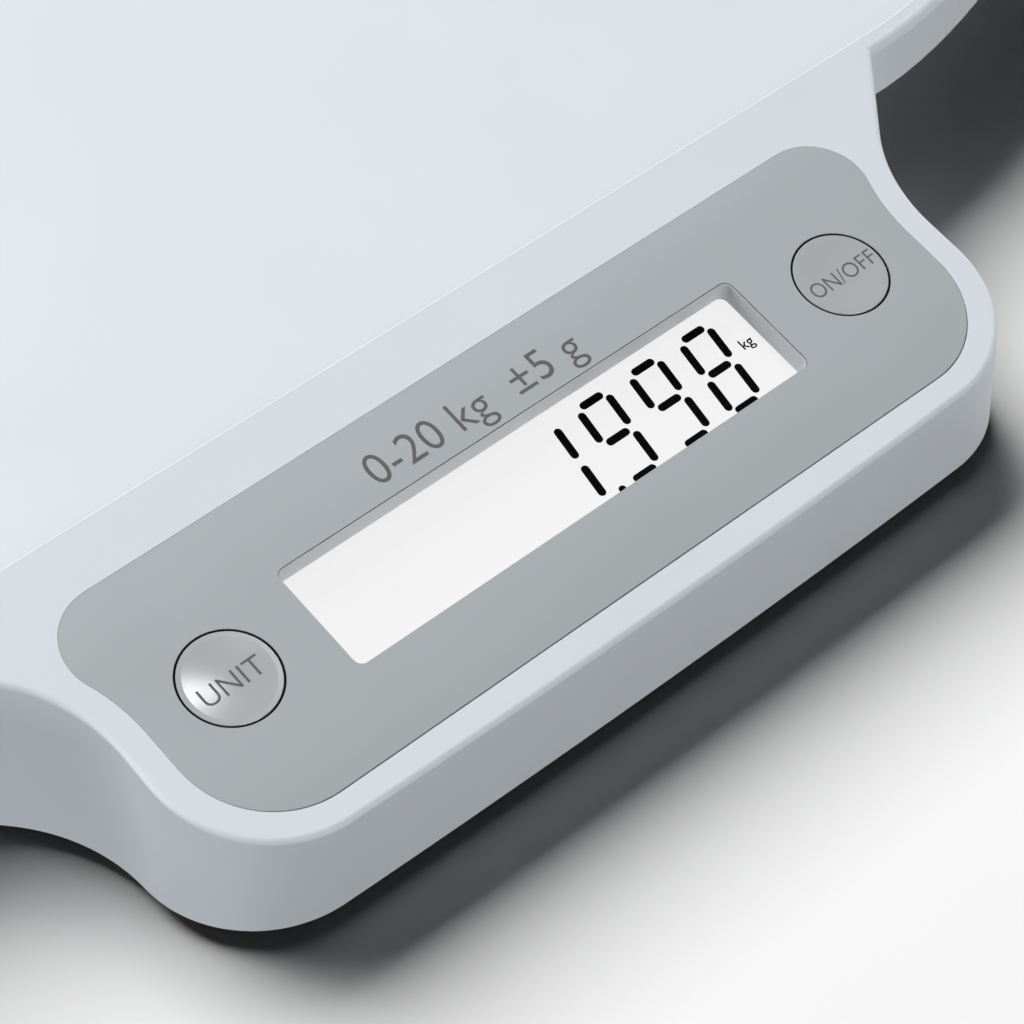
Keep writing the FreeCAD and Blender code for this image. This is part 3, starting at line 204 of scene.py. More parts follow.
def finish(name, colour, roughness, drift=0.02, drift_size=30.0, grain=0.15, relief=0.006,
           gloss_change=0.05, **settings):
    """A plastic, rubber or metal whose shade, gloss and grain vary. Sizes are in millimetres."""
    material = bpy.data.materials.new(name)
    material.use_nodes = True
    tree = material.node_tree
    shader = tree.nodes["Principled BSDF"]
    place = tree.nodes.new("ShaderNodeTexCoord")

    def noise(size, detail=3.0):
        node = tree.nodes.new("ShaderNodeTexNoise")
        node.inputs["Scale"].default_value = 1.0 / (size * MM)
        node.inputs["Detail"].default_value = detail
        tree.links.new(place.outputs["Object"], node.inputs["Vector"])
        return node.outputs["Fac"]

    def spread(value, low, high, target):
        """Noise seldom leaves its middle range, which is stretched to the wanted one."""
        tree.links.new(map_range(tree, value, NOISE_LOW, NOISE_HIGH, low, high), target)

    shade = tree.nodes.new("ShaderNodeMix")
    shade.data_type = "RGBA"
    spread(noise(drift_size), 0.0, 1.0, shade.inputs["Factor"])
    for socket, strength in ((MIX_FIRST, 1.0 - drift), (MIX_SECOND, 1.0 + drift)):
        shade.inputs[socket].default_value = (*(min(1.0, c * strength) for c in colour), 1.0)
    tree.links.new(shade.outputs[MIX_RESULT], shader.inputs["Base Color"])
    spread(noise(drift_size / 4), max(SMOOTHEST, roughness - gloss_change),
           min(1.0, roughness + gloss_change), shader.inputs["Roughness"])
    bump = tree.nodes.new("ShaderNodeBump")
    bump.inputs["Strength"].default_value = 1.0
    bump.inputs["Distance"].default_value = relief * MM
    tree.links.new(noise(grain, 2.0), bump.inputs["Height"])
    tree.links.new(bump.outputs["Normal"], shader.inputs["Normal"])
    for word, value in settings.items():
        shader.inputs[SOCKETS[word]].default_value = value
    return material


# %% [markdown]
# ## One finish for each material of the scale
#
# The record names a slot for every solid, so a table from slot to finish covers them all.
# The slots that nobody sees without a screwdriver get a true finish too, because the parts
# are used on their own as well.

# %% Finishes by slot
finishes = {
    "white_shell": finish("white_shell_grain", (0.655, 0.695, 0.741), 0.5, drift=0.012,
                          grain=0.4, relief=0.008),
    "panel_grey": finish("panel_grey_film", (0.385, 0.412, 0.430), 0.6, drift=0.01,
                         shine=0.3),
    "bezel_grey": finish("bezel_grey_satin", (0.46, 0.475, 0.495), 0.5, shine=0.2),
    "clear_window": finish("clear_window_lens", (0.02, 0.02, 0.02), 0.2, drift=0.0,
                           relief=0.0, gloss_change=0.02, opacity=0.02, shine=0.0),
    "display_glass": finish("display_glass_white", (0.10, 0.10, 0.10), 0.5, drift=0.01,
                            relief=0.0, glow=0.84, glow_colour=(1.0, 1.0, 1.0, 1.0), shine=0.1),
    "light_guide": finish("light_guide_clear", (0.88, 0.92, 0.94), 0.12, relief=0.002,
                          clear=0.6),
    # Black rubber, and also the painted shade of the rings in the gaps round the buttons.
    "black_rubber": finish("black_rubber_and_gap_shade", (0.005, 0.005, 0.006), 0.8, grain=0.4,
                           shine=0.05),
    "board_green": finish("board_green_lacquer", (0.015, 0.13, 0.05), 0.25, grain=0.8),
    "chip_black": finish("chip_black_resin", (0.022, 0.022, 0.024), 0.55),
    "socket_white": finish("socket_white_nylon", (0.76, 0.74, 0.68), 0.45),
    "button_grey": finish("button_grey_gloss", (0.385, 0.405, 0.42), 0.16, drift=0.015,
                          relief=0.0005, gloss_change=0.02),
    "switch_black": finish("switch_black_nylon", (0.025, 0.025, 0.028), 0.5),
    "plunger_yellow": finish("plunger_yellow_nylon", (0.75, 0.52, 0.06), 0.4),
    "steel": finish("screw_steel", (0.60, 0.61, 0.62), 0.3, metal=1.0, grain=0.3),
    "battery_wrap": finish("battery_wrap_sleeve", (0.10, 0.105, 0.12), 0.25),
    "cell_steel": finish("cell_steel_rolled", (0.52, 0.53, 0.55), 0.36, metal=1.0, grain=0.5),
    "seat_grey": finish("seat_grey_plastic", (0.30, 0.31, 0.33), 0.5),
    "pad_rubber": finish("pad_rubber_soft", (0.10, 0.10, 0.105), 0.85, grain=0.5),
    "foot_white": finish("foot_white_plastic", (0.66, 0.68, 0.71), 0.5),
    "wire_grey": finish("wire_grey_sleeve", (0.22, 0.22, 0.23), 0.5),
    "wire_red": finish("wire_red_sleeve", (0.55, 0.03, 0.03), 0.45),
}
for node in nodes.values():
    for entry in node.material_slots:
        entry.material = finishes[entry.material.name]
print("finishes:", len(finishes))

# %% [markdown]
# ## The floor's finish
#
# The floor is pale paper. Far from the scale it fades to white, where it meets the white of
# the world. A glow could do this everywhere, but here it shows only to rays that look at the
# background, so that it lights nothing.

# %% Floor finish
FLOOR_GREY = (0.60, 0.60, 0.60)
WHITE_FROM, WHITE_AT = 0.75, 1.7
floor_finish = finish("floor_paper", FLOOR_GREY, 0.9, drift=0.004, drift_size=200.0,
                      relief=0.0, shine=0.0)
floor.data.materials.append(floor_finish)
tree = floor_finish.node_tree
distance = tree.nodes.new("ShaderNodeVectorMath")
distance.operation = "LENGTH"
tree.links.new(tree.nodes["Texture Coordinate"].outputs["Object"], distance.inputs[0])
fade = map_range(tree, distance.outputs["Value"], WHITE_FROM, WHITE_AT, 0.0, 1.0, "SMOOTHSTEP")
glow = math_node(tree, "MULTIPLY", fade, background_rays(tree))
shader = tree.nodes["Principled BSDF"]
shader.inputs["Emission Color"].default_value = (1.0, 1.0, 1.0, 1.0)
tree.links.new(glow, shader.inputs["Emission Strength"])
print("floor nodes:", len(tree.nodes))

# %% [markdown]
# ## Outlines
#
# The tray and the console are drawn from arcs that meet smoothly. An outline is a list of
# points all the way round, and each outline of one form has the same number of points. So a
# solid can be built up like a tower, ring after ring.

# %% Outline helpers, in millimetres
TILT = math.radians(12.0)
PANEL_Y, PANEL_Z = -140.437, 30.744


def arc(centre, radius, start, end, steps):
    """Points on an arc from one angle to another, without its last point."""
    angles = [start + (end - start) * k / steps for k in range(steps)]
    return [(centre[0] + radius * math.cos(a), centre[1] + radius * math.sin(a)) for a in angles]


def both_halves(half):
    """Mirrors a right-hand half outline that starts and ends on the middle line."""
    return half + [(-x, y) for x, y in half[-2:0:-1]]


def circle(radius, count, centre=(0.0, 0.0)):
    return arc(centre, radius, 0.0, 2 * math.pi, count)


def rounded_box(length, depth, corner, steps=6):
    """An oblong with round corners."""
    points = []
    for k, (sx, sy) in enumerate(((1, -1), (1, 1), (-1, 1), (-1, -1))):
        centre = (sx * (length / 2 - corner), sy * (depth / 2 - corner))
        start = (k - 1) * math.pi / 2
        end = start + math.pi / 2
        points += arc(centre, corner, start, end, steps)
        points += [(centre[0] + corner * math.cos(end), centre[1] + corner * math.sin(end))]
    return points


def quarter_round(steps):
    """How far in and how far down the points of a rounded edge lie, for an edge of size 1."""
    angles = [math.pi / 2 * k / steps for k in range(steps + 1)]
    return [(1 - math.cos(a), 1 - math.sin(a)) for a in angles]


def on_panel(points, height):
    """Turns points of the panel's own plane into places in the frame."""
    c, s = math.cos(TILT), math.sin(TILT)
    return [(x, PANEL_Y + y * c - height * s, PANEL_Z + y * s + height * c) for x, y in points]


def level(points, height):
    return [(x, y, height) for x, y in points]


# %% [markdown]
# ## The outlines of the tray and the console
#
# The tray is an oblong with bowed sides and round ends. The console has a bowed front, round
# corners and a hollow neck on each side that flares out to the tray's rim. Its walls lean, so
# its outline changes with the height. Each point of it moves in a straight line, and two
# heights are enough to find any point on the slope.

# %% Tray and console outlines
TRAY_Y, TRAY_Z = 30.375, 38.0
TRAY_DEPTH, TRAY_END = 279.35, 243.0
SIDE_BOW, END_BOW, TRAY_CORNER = 4200.0, 150.0, 138.0
SIDE_STEPS, CORNER_STEPS, END_STEPS = 14, 44, 8
CREASE_Y = -106.3
RIM_Y, FRONT_Y, FRONT_TOP_Z = -109.3, -170.05, 24.449
CONSOLE_HALF, CONSOLE_CORNER, CONSOLE_BOW = 85.75, 21.6, 2500.0
CONSOLE_BACK = -78.025
NECK_RADIUS, NECK_LENGTH, NECK_TURN = 28.2, 35.0, math.radians(41.0)
NECK_PAST_RIM = 1.4
BOW_STEPS, BEND_STEPS, NECK_STEPS = 10, 24, 20
SIDE_FLARE, FRONT_LEAN = math.tan(math.radians(5.4)), math.tan(math.radians(1.2))
RADIUS_FLARE, START_FLARE = math.tan(math.radians(12.0)), math.tan(math.radians(9.2))
LOW_Z, HIGH_Z = 20.0, 40.0


def tray_outline(inset):
    """The tray's plan, drawn in by an inset: side, corner and end arcs, four times over."""
    side_y = -TRAY_DEPTH / 2 + SIDE_BOW
    end_x = TRAY_END - END_BOW
    gap = math.hypot(end_x, side_y)
    reach, end_reach = SIDE_BOW - TRAY_CORNER, END_BOW - TRAY_CORNER
    along = (reach ** 2 - end_reach ** 2 + gap ** 2) / (2 * gap)
    aside = math.sqrt(reach ** 2 - along ** 2)
    ux, uy = end_x / gap, -side_y / gap
    corner = (along * ux - aside * uy, side_y + along * uy + aside * ux)
    a = math.atan2(corner[1] - side_y, corner[0])
    b = math.atan2(corner[1], corner[0] - end_x)
    quarter = arc((0.0, side_y), SIDE_BOW - inset, -math.pi / 2, a, SIDE_STEPS)
    quarter += arc(corner, TRAY_CORNER - inset, a, b, CORNER_STEPS)
    quarter += arc((end_x, 0.0), END_BOW - inset, b, 0.0, END_STEPS)
    half = quarter + [(TRAY_END - inset, 0.0)] + [(x, -y) for x, y in reversed(quarter)]
    return [(x, TRAY_Y + y) for x, y in both_halves(half)]


def console_outline(inset, z, back=CONSOLE_BACK):
    """The console's plan at one height, drawn in by an inset."""
    below = PANEL_Z - z
    wide = CONSOLE_HALF + below * SIDE_FLARE
    side = wide - inset
    corner = CONSOLE_CORNER - inset
    bow_y = FRONT_Y + (FRONT_TOP_Z - z) * FRONT_LEAN + CONSOLE_BOW
    cx = side - corner
    cy = bow_y - math.sqrt((CONSOLE_BOW - CONSOLE_CORNER) ** 2 - cx ** 2)
    a = math.atan2(cy - bow_y, cx)
    radius = NECK_RADIUS + below * RADIUS_FLARE
    neck = (wide + radius, CREASE_Y - NECK_LENGTH - below * START_FLARE)

    def flare(hollow, to_y):
        """Where the neck's arc ends, and where its flare line reaches the rim."""
        end = (neck[0] - hollow * math.cos(NECK_TURN), neck[1] + hollow * math.sin(NECK_TURN))
        return end, end[0] + (to_y - end[1]) * math.tan(NECK_TURN)

    back_x = flare(radius, RIM_Y + NECK_PAST_RIM)[1] - inset
    end = flare(radius + inset, 0.0)[0]
    elbow = (back_x, end[1] + (back_x - end[0]) / math.tan(NECK_TURN))
    half = arc((0.0, bow_y), CONSOLE_BOW - inset, -math.pi / 2, a, BOW_STEPS)
    half += arc((cx, cy), corner, a, 0.0, BEND_STEPS) + [(side, cy)]
    half += arc(neck, radius + inset, math.pi, math.pi - NECK_TURN, NECK_STEPS)
    half += [end, elbow, (back_x, back), (0.0, back)]
    return both_halves(half)


def slope_ring(inset, drop, back=CONSOLE_BACK):
    """The console's outline where it meets the slope, or a plane that lies lower."""
    rise = math.tan(TILT)
    ring = []
    for (x0, y0), (x1, y1) in zip(console_outline(inset, LOW_Z, back),
                                  console_outline(inset, HIGH_Z, back)):
        lean_x, lean_y = ((b - a) / (HIGH_Z - LOW_Z) for a, b in ((x0, x1), (y0, y1)))
        start = TRAY_Z - drop + (y0 - lean_y * LOW_Z - CREASE_Y) * rise
        z = start / (1 - rise * lean_y)
        ring.append((x0 + lean_x * (z - LOW_Z), y0 + lean_y * (z - LOW_Z), z))
    return ring


print("points round the tray:", len(tray_outline(0.0)),
      "and round the console:", len(console_outline(0.0, PANEL_Z)))

# %% [markdown]
# ## Building towers
#
# A primitive circle gives the first ring. Each further ring is extruded from the last and
# then moved to its own outline. A number kept on every vertex remembers its place in the
# outline, so that the points never get mixed up. The other helpers here finish a piece: they
# apply a modifier, join or cut two pieces, smooth the shading, and give the piece its
# material and its body.

# %% Tower helper and finishing helpers
def select_only(piece):
    bpy.ops.object.select_all(action="DESELECT")
    bpy.context.view_layer.objects.active = piece
    piece.select_set(True)


def start_edit(piece):
    select_only(piece)
    bpy.ops.object.mode_set(mode="EDIT")


def face_outwards():
    """Recalculates the normals of the piece that is being edited."""
    bpy.ops.mesh.select_all(action="SELECT")
    bpy.ops.mesh.normals_make_consistent(inside=False)


def end_edit():
    bpy.ops.object.mode_set(mode="OBJECT")
    bpy.ops.object.select_all(action="DESELECT")


def tower(name, rings):
    """A closed solid through rings of equal length, given in millimetres from bottom to top."""
    bpy.ops.object.select_all(action="DESELECT")
    bpy.ops.mesh.primitive_circle_add(vertices=len(rings[0]), fill_type="NGON")
    piece = bpy.context.object
    piece.name = name
    start_edit(piece)
    shape = bmesh.from_edit_mesh(piece.data)
    place = shape.verts.layers.int.new("place")
    shape.verts.ensure_lookup_table()
    for number, vertex in enumerate(shape.verts):
        vertex[place] = number
    for number, ring in enumerate(rings):
        if number:
            bpy.ops.mesh.extrude_region_move()
            shape = bmesh.from_edit_mesh(piece.data)
            place = shape.verts.layers.int["place"]
        for vertex in shape.verts:
            if vertex.select:
                vertex.co = Vector(ring[vertex[place]]) * MM
        bmesh.update_edit_mesh(piece.data)
    face_outwards()
    end_edit()
    return piece


def apply_modifier(piece, kind, **settings):
    """Adds a modifier, sets it and applies it."""
    select_only(piece)
    modifier = piece.modifiers.new(kind.title(), kind)
    for key, value in settings.items():
        setattr(modifier, key, value)
    bpy.ops.object.modifier_apply(modifier=modifier.name)
    bpy.ops.object.select_all(action="DESELECT")


def combine(piece, tool, operation):
    """A boolean of two pieces. The second one is used up."""
    apply_modifier(piece, "BOOLEAN", object=tool, operation=operation, solver="EXACT")
    bpy.data.objects.remove(tool)


def cut(piece, outline, low, high):
    """Cuts an opening square to the panel, from one height over its surface to another."""
    hole = tower("hole", [on_panel(outline, low), on_panel(outline, high)])
    combine(piece, hole, "DIFFERENCE")


def join(name, parts):
    bpy.ops.object.select_all(action="DESELECT")
    for part in parts:
        part.select_set(True)
    bpy.context.view_layer.objects.active = parts[0]
    bpy.ops.object.join()
    whole = bpy.context.object
    whole.name = name
    bpy.ops.object.select_all(action="DESELECT")
    return whole


def soften(piece, angle=30.0):
    """Smooth shading over gentle angles and crisp shading over sharp ones."""
    select_only(piece)
    bpy.ops.object.shade_smooth_by_angle(angle=math.radians(angle))
    bpy.ops.object.select_all(action="DESELECT")


def dress(piece, slot, body="scale", *replaced):
    """Gives a piece its finish, its body and the solids that it stands for."""
    piece.data.materials.clear()
    piece.data.materials.append(finishes[slot])
    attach(piece, body)
    if replaced:
        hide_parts(*replaced)
    print(piece.name, "faces:", len(piece.data.polygons))


def paint(piece, slot, body, colour):
    """Dresses a film of ink, which goes with a solid's slot but has its own colour."""
    dress(piece, slot, body)
    piece.data.materials[0] = colour


# %% [markdown]
# ## The grey panel
#
# The panel is a thin moulding with waisted ends, glued into a pocket so that it lies flush.
# Its window has slightly round corners. The pocket is a little longer than the panel on the
# near side, which shows as a fine dark line. The window leaves a finer one at the far and
# right sides of the display's frame. The openings could be drawn into the outline, but a
# boolean cuts each of them in one step.

# %% Panel
PANEL_THICK = 1.2
PANEL_HALF, PANEL_NEAR, PANEL_FAR = 80.8, 24.7, 24.8
NEAR_CORNER, WAIST, WAIST_TURN = 17.0, 33.6, math.radians(20.0)
NEAR_STEPS, WAIST_STEPS, TIP_STEPS = 16, 10, 18
PANEL_ROUND, PANEL_ROUND_STEPS = 0.1, 3
WINDOW_LENGTH, WINDOW_DEPTH, WINDOW_CORNER = 96.0, 20.4, 1.5
LIP, LIP_GAP = 0.12, 0.08
BUTTON_X = 65.05
PANEL_HOLE = 8.56
ROUND_POINTS = 96
CLEAR = 3.0


def panel_outline(outset):
    """Straight sides, round corners and a hollow waist at each end."""
    near, far, half = -PANEL_NEAR - outset, PANEL_FAR + outset, PANEL_HALF
    corner = (half - NEAR_CORNER, -PANEL_NEAR + NEAR_CORNER)
    waist = (half + WAIST, 0.0)
    tip_x = waist[0] - WAIST * math.cos(WAIST_TURN)
    tip_y = WAIST * math.sin(WAIST_TURN)
    tip_radius = (PANEL_FAR - tip_y) / (1 + math.sin(WAIST_TURN))
    tip = (tip_x - tip_radius * math.cos(WAIST_TURN), tip_y + tip_radius * math.sin(WAIST_TURN))
    half_outline = [(0.0, near)]
    half_outline += arc(corner, NEAR_CORNER + outset, -math.pi / 2, 0.0, NEAR_STEPS)
    half_outline += [(half + outset, corner[1])]
    half_outline += arc(waist, WAIST - outset, math.pi, math.pi - WAIST_TURN, WAIST_STEPS)
    half_outline += arc(tip, tip_radius + outset, -WAIST_TURN, math.pi / 2, TIP_STEPS)
    half_outline += [(tip[0], far), (0.0, far)]
    return both_halves(half_outline)


def window_outline(outset):
    return rounded_box(WINDOW_LENGTH + 2 * outset, WINDOW_DEPTH + 2 * outset,
                       WINDOW_CORNER + outset)


def button_hole(side, radius):
    return circle(radius, ROUND_POINTS, (side * BUTTON_X, 0.0))


panel_rings = [on_panel(panel_outline(0.0), -PANEL_THICK)]
for inwards, down in quarter_round(PANEL_ROUND_STEPS):
    panel_rings.append(on_panel(panel_outline(-PANEL_ROUND * inwards), -PANEL_ROUND * down))
panel = tower("grey_panel", panel_rings)
opening = [(x + LIP_GAP, y + LIP_GAP) for x, y in window_outline(LIP + LIP_GAP)]
cut(panel, opening, -CLEAR, CLEAR)
for side in (-1, 1):
    cut(panel, button_hole(side, PANEL_HOLE), -CLEAR, CLEAR)
soften(panel)
dress(panel, "panel_grey", "scale", "overlay_panel")

# %% [markdown]
# ## The tray
#
# The tray is flat in the middle and rises towards its ends like a very wide hammock. A fine
# ridge runs round it just inside the rim, with a very shallow hollow behind it. Outside the
# ridge a narrow band falls as gently as the console's slope, and then the edge is rounded.
# The flat form is built as a tower first. Cuts across it give it points to bend at, and every
# point is then lifted by the height of the curve at its place.

# %% Tray
FLAT_HALF = 110.0
RISE_RADIUS = 560.78
STATIONS = 22
RIM_HEIGHT = 12.4
WALL = 2.8
EDGE_BREAK = 0.4
ROUND_WIDE, ROUND_HIGH, ROUND_STEPS = 1.6, 1.9, 16
BAND_FALL = 0.34
RIDGE = ((3.20, 0.04), (3.52, -0.10), (7.0, 0.0))
STRAIGHT_HALF, FADE_RUN = 105.0, 40.0
HOLLOW_PAST_RIM = 6.0


def lift(x):
    """How far the tray has risen at a distance from its middle."""
    out = abs(x) - FLAT_HALF
    return RISE_RADIUS - math.sqrt(RISE_RADIUS ** 2 - out ** 2) if out > 0 else 0.0


def straightened(points):
    """Takes the bow out of the front side, where the ridge follows the console's crease."""
    result = []
    for x, y in points:
        over = min(1.0, max(0.0, (abs(x) - STRAIGHT_HALF) / FADE_RUN))
        fade = 1 - over * over * (3 - 2 * over) if y < TRAY_Y else 0.0
        result.append((x, y - fade * min(abs(x), STRAIGHT_HALF) ** 2 / (2 * SIDE_BOW)))
    return result


def tray_ring(inset, height):
    return level(straightened(tray_outline(inset)), TRAY_Z + height)


def tray_tower(name, rings):
    """A tower that bends up towards the tray's ends."""
    piece = tower(name, rings)
    start_edit(piece)
    for side in (-1, 1):
        for k in range(STATIONS):
            x = side * (FLAT_HALF + (TRAY_END - FLAT_HALF) * k / STATIONS)
            bpy.ops.mesh.select_all(action="SELECT")
            bpy.ops.mesh.bisect(plane_co=(x * MM, 0, 0), plane_no=(1, 0, 0))
    end_edit()
    for vertex in piece.data.vertices:
        vertex.co.z += lift(vertex.co.x / MM) * MM
    return piece


tray_rings = [tray_ring(EDGE_BREAK, -RIM_HEIGHT), tray_ring(0.0, EDGE_BREAK - RIM_HEIGHT)]
for inwards, down in quarter_round(ROUND_STEPS):
    tray_rings.append(tray_ring(ROUND_WIDE * inwards, -BAND_FALL - ROUND_HIGH * down))
tray_rings += [tray_ring(inset, height) for inset, height in RIDGE]
shell = tray_tower("tray_and_console", tray_rings)
hollow = tray_tower("hollow", [tray_ring(WALL, -RIM_HEIGHT - HOLLOW_PAST_RIM),
                               tray_ring(WALL, -WALL)])
combine(shell, hollow, "DIFFERENCE")
print("tray faces:", len(shell.data.polygons))

# %% [markdown]
# ## The console joins the tray
#
# The console is a second tower whose last rings lie on the slope, so the rounding of its top
# edge runs evenly round it. It could be drawn together with the tray, but two simple forms
# are easier to get right. A wedge first clears the tray's rim where the slope goes through
# it. A plane that leans back cuts the console off at the ridge, and the two are made one.

# %% Console
CONSOLE_LOW = 4.0
CONSOLE_ROUND, CONSOLE_STEPS = 0.9, 10
NECK_HALF = 104.45
SINK = 0.05
RIDGE_Y, RIDGE_FALL = -106.08, math.radians(24.0)
WEDGE_PAST_FRONT, WEDGE_OVER_TRAY = 5.0, 8.0


def slope_z(y, drop=0.0):
    """The height of the slope, or of a plane that lies lower."""
    return TRAY_Z - drop - (CREASE_Y - y) * math.tan(TILT)


def below_plane(piece, y, z, lean=0.0):
    """Cuts off all that is above a plane, which may lean back, and closes the cut."""
    start_edit(piece)
    bpy.ops.mesh.select_all(action="SELECT")
    bpy.ops.mesh.bisect(plane_co=(0, y * MM, z * MM), plane_no=(0, math.sin(lean), math.cos(lean)),
                        use_fill=True, clear_outer=True)
    face_outwards()
    end_edit()


far, high = FRONT_Y - WEDGE_PAST_FRONT, TRAY_Z + WEDGE_OVER_TRAY
wedge_side = [(RIDGE_Y, high), (RIDGE_Y, slope_z(RIDGE_Y, SINK)), (far, slope_z(far, SINK)),
              (far, high)]
wedge = tower("wedge", [[(x, y, z) for y, z in wedge_side] for x in (-NECK_HALF, NECK_HALF)])
combine(shell, wedge, "DIFFERENCE")
console_rings = [level(console_outline(EDGE_BREAK, CONSOLE_LOW), CONSOLE_LOW),
                 level(console_outline(0.0, CONSOLE_LOW + EDGE_BREAK), CONSOLE_LOW + EDGE_BREAK)]
for inwards, down in quarter_round(CONSOLE_STEPS):
    console_rings.append(slope_ring(CONSOLE_ROUND * inwards, CONSOLE_ROUND * down))
console = tower("console", console_rings)
below_plane(console, RIDGE_Y, slope_z(RIDGE_Y), RIDGE_FALL)
combine(shell, console, "UNION")
print("tray and console faces:", len(shell.data.polygons))

# %% [markdown]
# ## The hollow and the openings of the shell
#
# The moulding is a thin wall everywhere. A smaller tower is cut out of the console from
# below, and then the pocket for the panel, the opening for the display's sleeve and the two
# holes for the buttons. Only a small shading angle keeps the ridge along the crease crisp.

# %% Hollow and openings
HOLLOW_PAST_LOW, HOLLOW_BACK = 1.0, 12.0
POCKET_FIT, POCKET_GAP = 0.03, 0.20
SLEEVE_OPENING = (100.8, 25.2, 1.0)
SHELL_HOLE = 8.4
UNDER, OVER = 5.0, 1.0
SHELL_CRISP = 10.0

hollow_low, open_back = CONSOLE_LOW - HOLLOW_PAST_LOW, CONSOLE_BACK + HOLLOW_BACK
hollow = tower("hollow", [level(console_outline(WALL, hollow_low, open_back), hollow_low),
                          slope_ring(WALL, WALL / math.cos(TILT), open_back)])
below_plane(hollow, 0.0, TRAY_Z - WALL - SINK)
combine(shell, hollow, "DIFFERENCE")
pocket = [(x, y * (1 + POCKET_GAP / PANEL_NEAR) if y < 0 else y)
          for x, y in panel_outline(POCKET_FIT)]
cut(shell, pocket, -PANEL_THICK, CLEAR)
cut(shell, rounded_box(*SLEEVE_OPENING), -UNDER, OVER)
for side in (-1, 1):
    cut(shell, button_hole(side, SHELL_HOLE), -UNDER, OVER)
soften(shell, SHELL_CRISP)
apply_modifier(shell, "WEIGHTED_NORMAL", keep_sharp=True)
dress(shell, "white_shell", "scale", "top_shell")

# %% [markdown]
# ## The display's frame
#
# A sleeve goes down from the panel's surface to the glass, so the window looks like a shallow
# box with grey walls. Inside the panel's window it is a thin lip.

# %% Display frame
GLASS_DEPTH = 5.2
LENS_THICK = 1.0
CELL_LENGTH, CELL_DEPTH, CELL_THICK, CELL_CORNER = 104.0, 28.0, 2.8, 0.3
CELL_PLAY = 0.2
SLEEVE_WALL, SLEEVE_CORNER = 2.0, 2.0
LIP_DROP = 0.04
SKIRT = (109.0, 34.0, 2.0)
SKIRT_TOP = -3.05
BOARD_DROP = 12.2

sleeve = rounded_box(WINDOW_LENGTH + 2 * SLEEVE_WALL, WINDOW_DEPTH + 2 * SLEEVE_WALL,
                     SLEEVE_CORNER)
surround = tower("display_surround", [
    on_panel(rounded_box(*SKIRT), -BOARD_DROP),
    on_panel(rounded_box(*SKIRT), SKIRT_TOP),
    on_panel(sleeve, SKIRT_TOP),
    on_panel(sleeve, -PANEL_THICK),
    on_panel(window_outline(LIP), -PANEL_THICK),
    on_panel(window_outline(LIP), -LIP_DROP)])
cut(surround, window_outline(0.0), -BOARD_DROP - OVER, OVER)
cut(surround, rounded_box(CELL_LENGTH + CELL_PLAY, CELL_DEPTH + CELL_PLAY, CELL_CORNER),
    -BOARD_DROP - OVER, -(GLASS_DEPTH - LENS_THICK))
soften(surround)
dress(surround, "bezel_grey", "scale", "display_bezel")

# %% [markdown]
# ## The glass and its lens
#
# The glass is a white backlit plate. A clear lens lies over it, a hair above, so that the two
# faces never fall in one plane.

# %% Glass and lens
HAIR = 0.06
GLASS_EDGE = 0.15


def plate(name, low, high):
    """A thin plate on the panel's plane with broken edges."""
    full = rounded_box(CELL_LENGTH, CELL_DEPTH, CELL_CORNER)
    narrow = rounded_box(CELL_LENGTH - 2 * GLASS_EDGE, CELL_DEPTH - 2 * GLASS_EDGE, CELL_CORNER)
    return tower(name, [on_panel(narrow, low), on_panel(full, low + GLASS_EDGE),
                        on_panel(full, high - GLASS_EDGE), on_panel(narrow, high)])


glass = plate("display_glass_plate", -GLASS_DEPTH - CELL_THICK, -GLASS_DEPTH)
dress(glass, "display_glass", "scale", "lcd_cell")
lens = plate("display_lens", -GLASS_DEPTH + HAIR, -GLASS_DEPTH + LENS_THICK)
dress(lens, "clear_window", "scale", "display_window")

# %% [markdown]
# ## The digits
#
# Each digit is made of bars with round ends that lean a little to the right. The outline of a
# bar is two half circles a little apart. It is built up to a film as thick as ink, because a
# flat drawing would have no edge and could fall in one plane with the glass.

# %% Digit bars
GRID = 1.2
SLANT = 0.143
BAR, BAR_STEPS = 1.21, 8
ACROSS, UPRIGHT = 4.0, 5.3
INK, INK_GAP = 0.03, 0.01
ROWS = {"top": 6.51, "high": 3.30, "mid": 0.0, "low": -3.31, "base": -6.50}
BASE_Y = -0.13
SIDE_X = 2.57
ONE = ((), (), ("high", "low"))
NINE = (("top", "mid", "base"), ("high",), ("high", "low"))
EIGHT = (("top", "mid", "base"), ("high", "low"), ("high", "low"))
DIGITS = ((3.32, ONE), (12.84, NINE), (22.39, NINE), (31.87, EIGHT))
POINT = (7.75, -6.75, 1.15, 1.13)
ink = finish("display_ink", (0.004, 0.004, 0.005), 0.5, relief=0.0, shine=0.0)


def bar(x, y, length, width, angle):
    """One bar with round ends, in units of the display's grid."""
    ends = [(-(length - width) / 2, math.pi / 2), ((length - width) / 2, -math.pi / 2)]
    points = []
    for offset, start in ends:
        for k in range(BAR_STEPS + 1):
            a = start + math.pi * k / BAR_STEPS
            points.append((offset + width / 2 * math.cos(a), width / 2 * math.sin(a)))
    c, s = math.cos(angle), math.sin(angle)
    placed = [((x + px * c - py * s) * GRID, (y + px * s + py * c) * GRID) for px, py in points]
    low = -GLASS_DEPTH + INK_GAP
    return tower("bar", [on_panel(placed, low), on_panel(placed, low + INK)])


def digit(centre, across, left, right):
    """The bars of one digit: the rows that have one across, on the left and on the right."""
    lean = math.pi / 2 - math.atan(SLANT)
    bars = [bar(centre + SLANT * ROWS[row], BASE_Y + ROWS[row], ACROSS, BAR, 0.0)
            for row in across]
    for side, rows in ((-1, left), (1, right)):
        for row in rows:
            x = centre + side * SIDE_X + SLANT * ROWS[row]
            bars.append(bar(x, BASE_Y + ROWS[row], UPRIGHT, BAR, lean))
    return bars


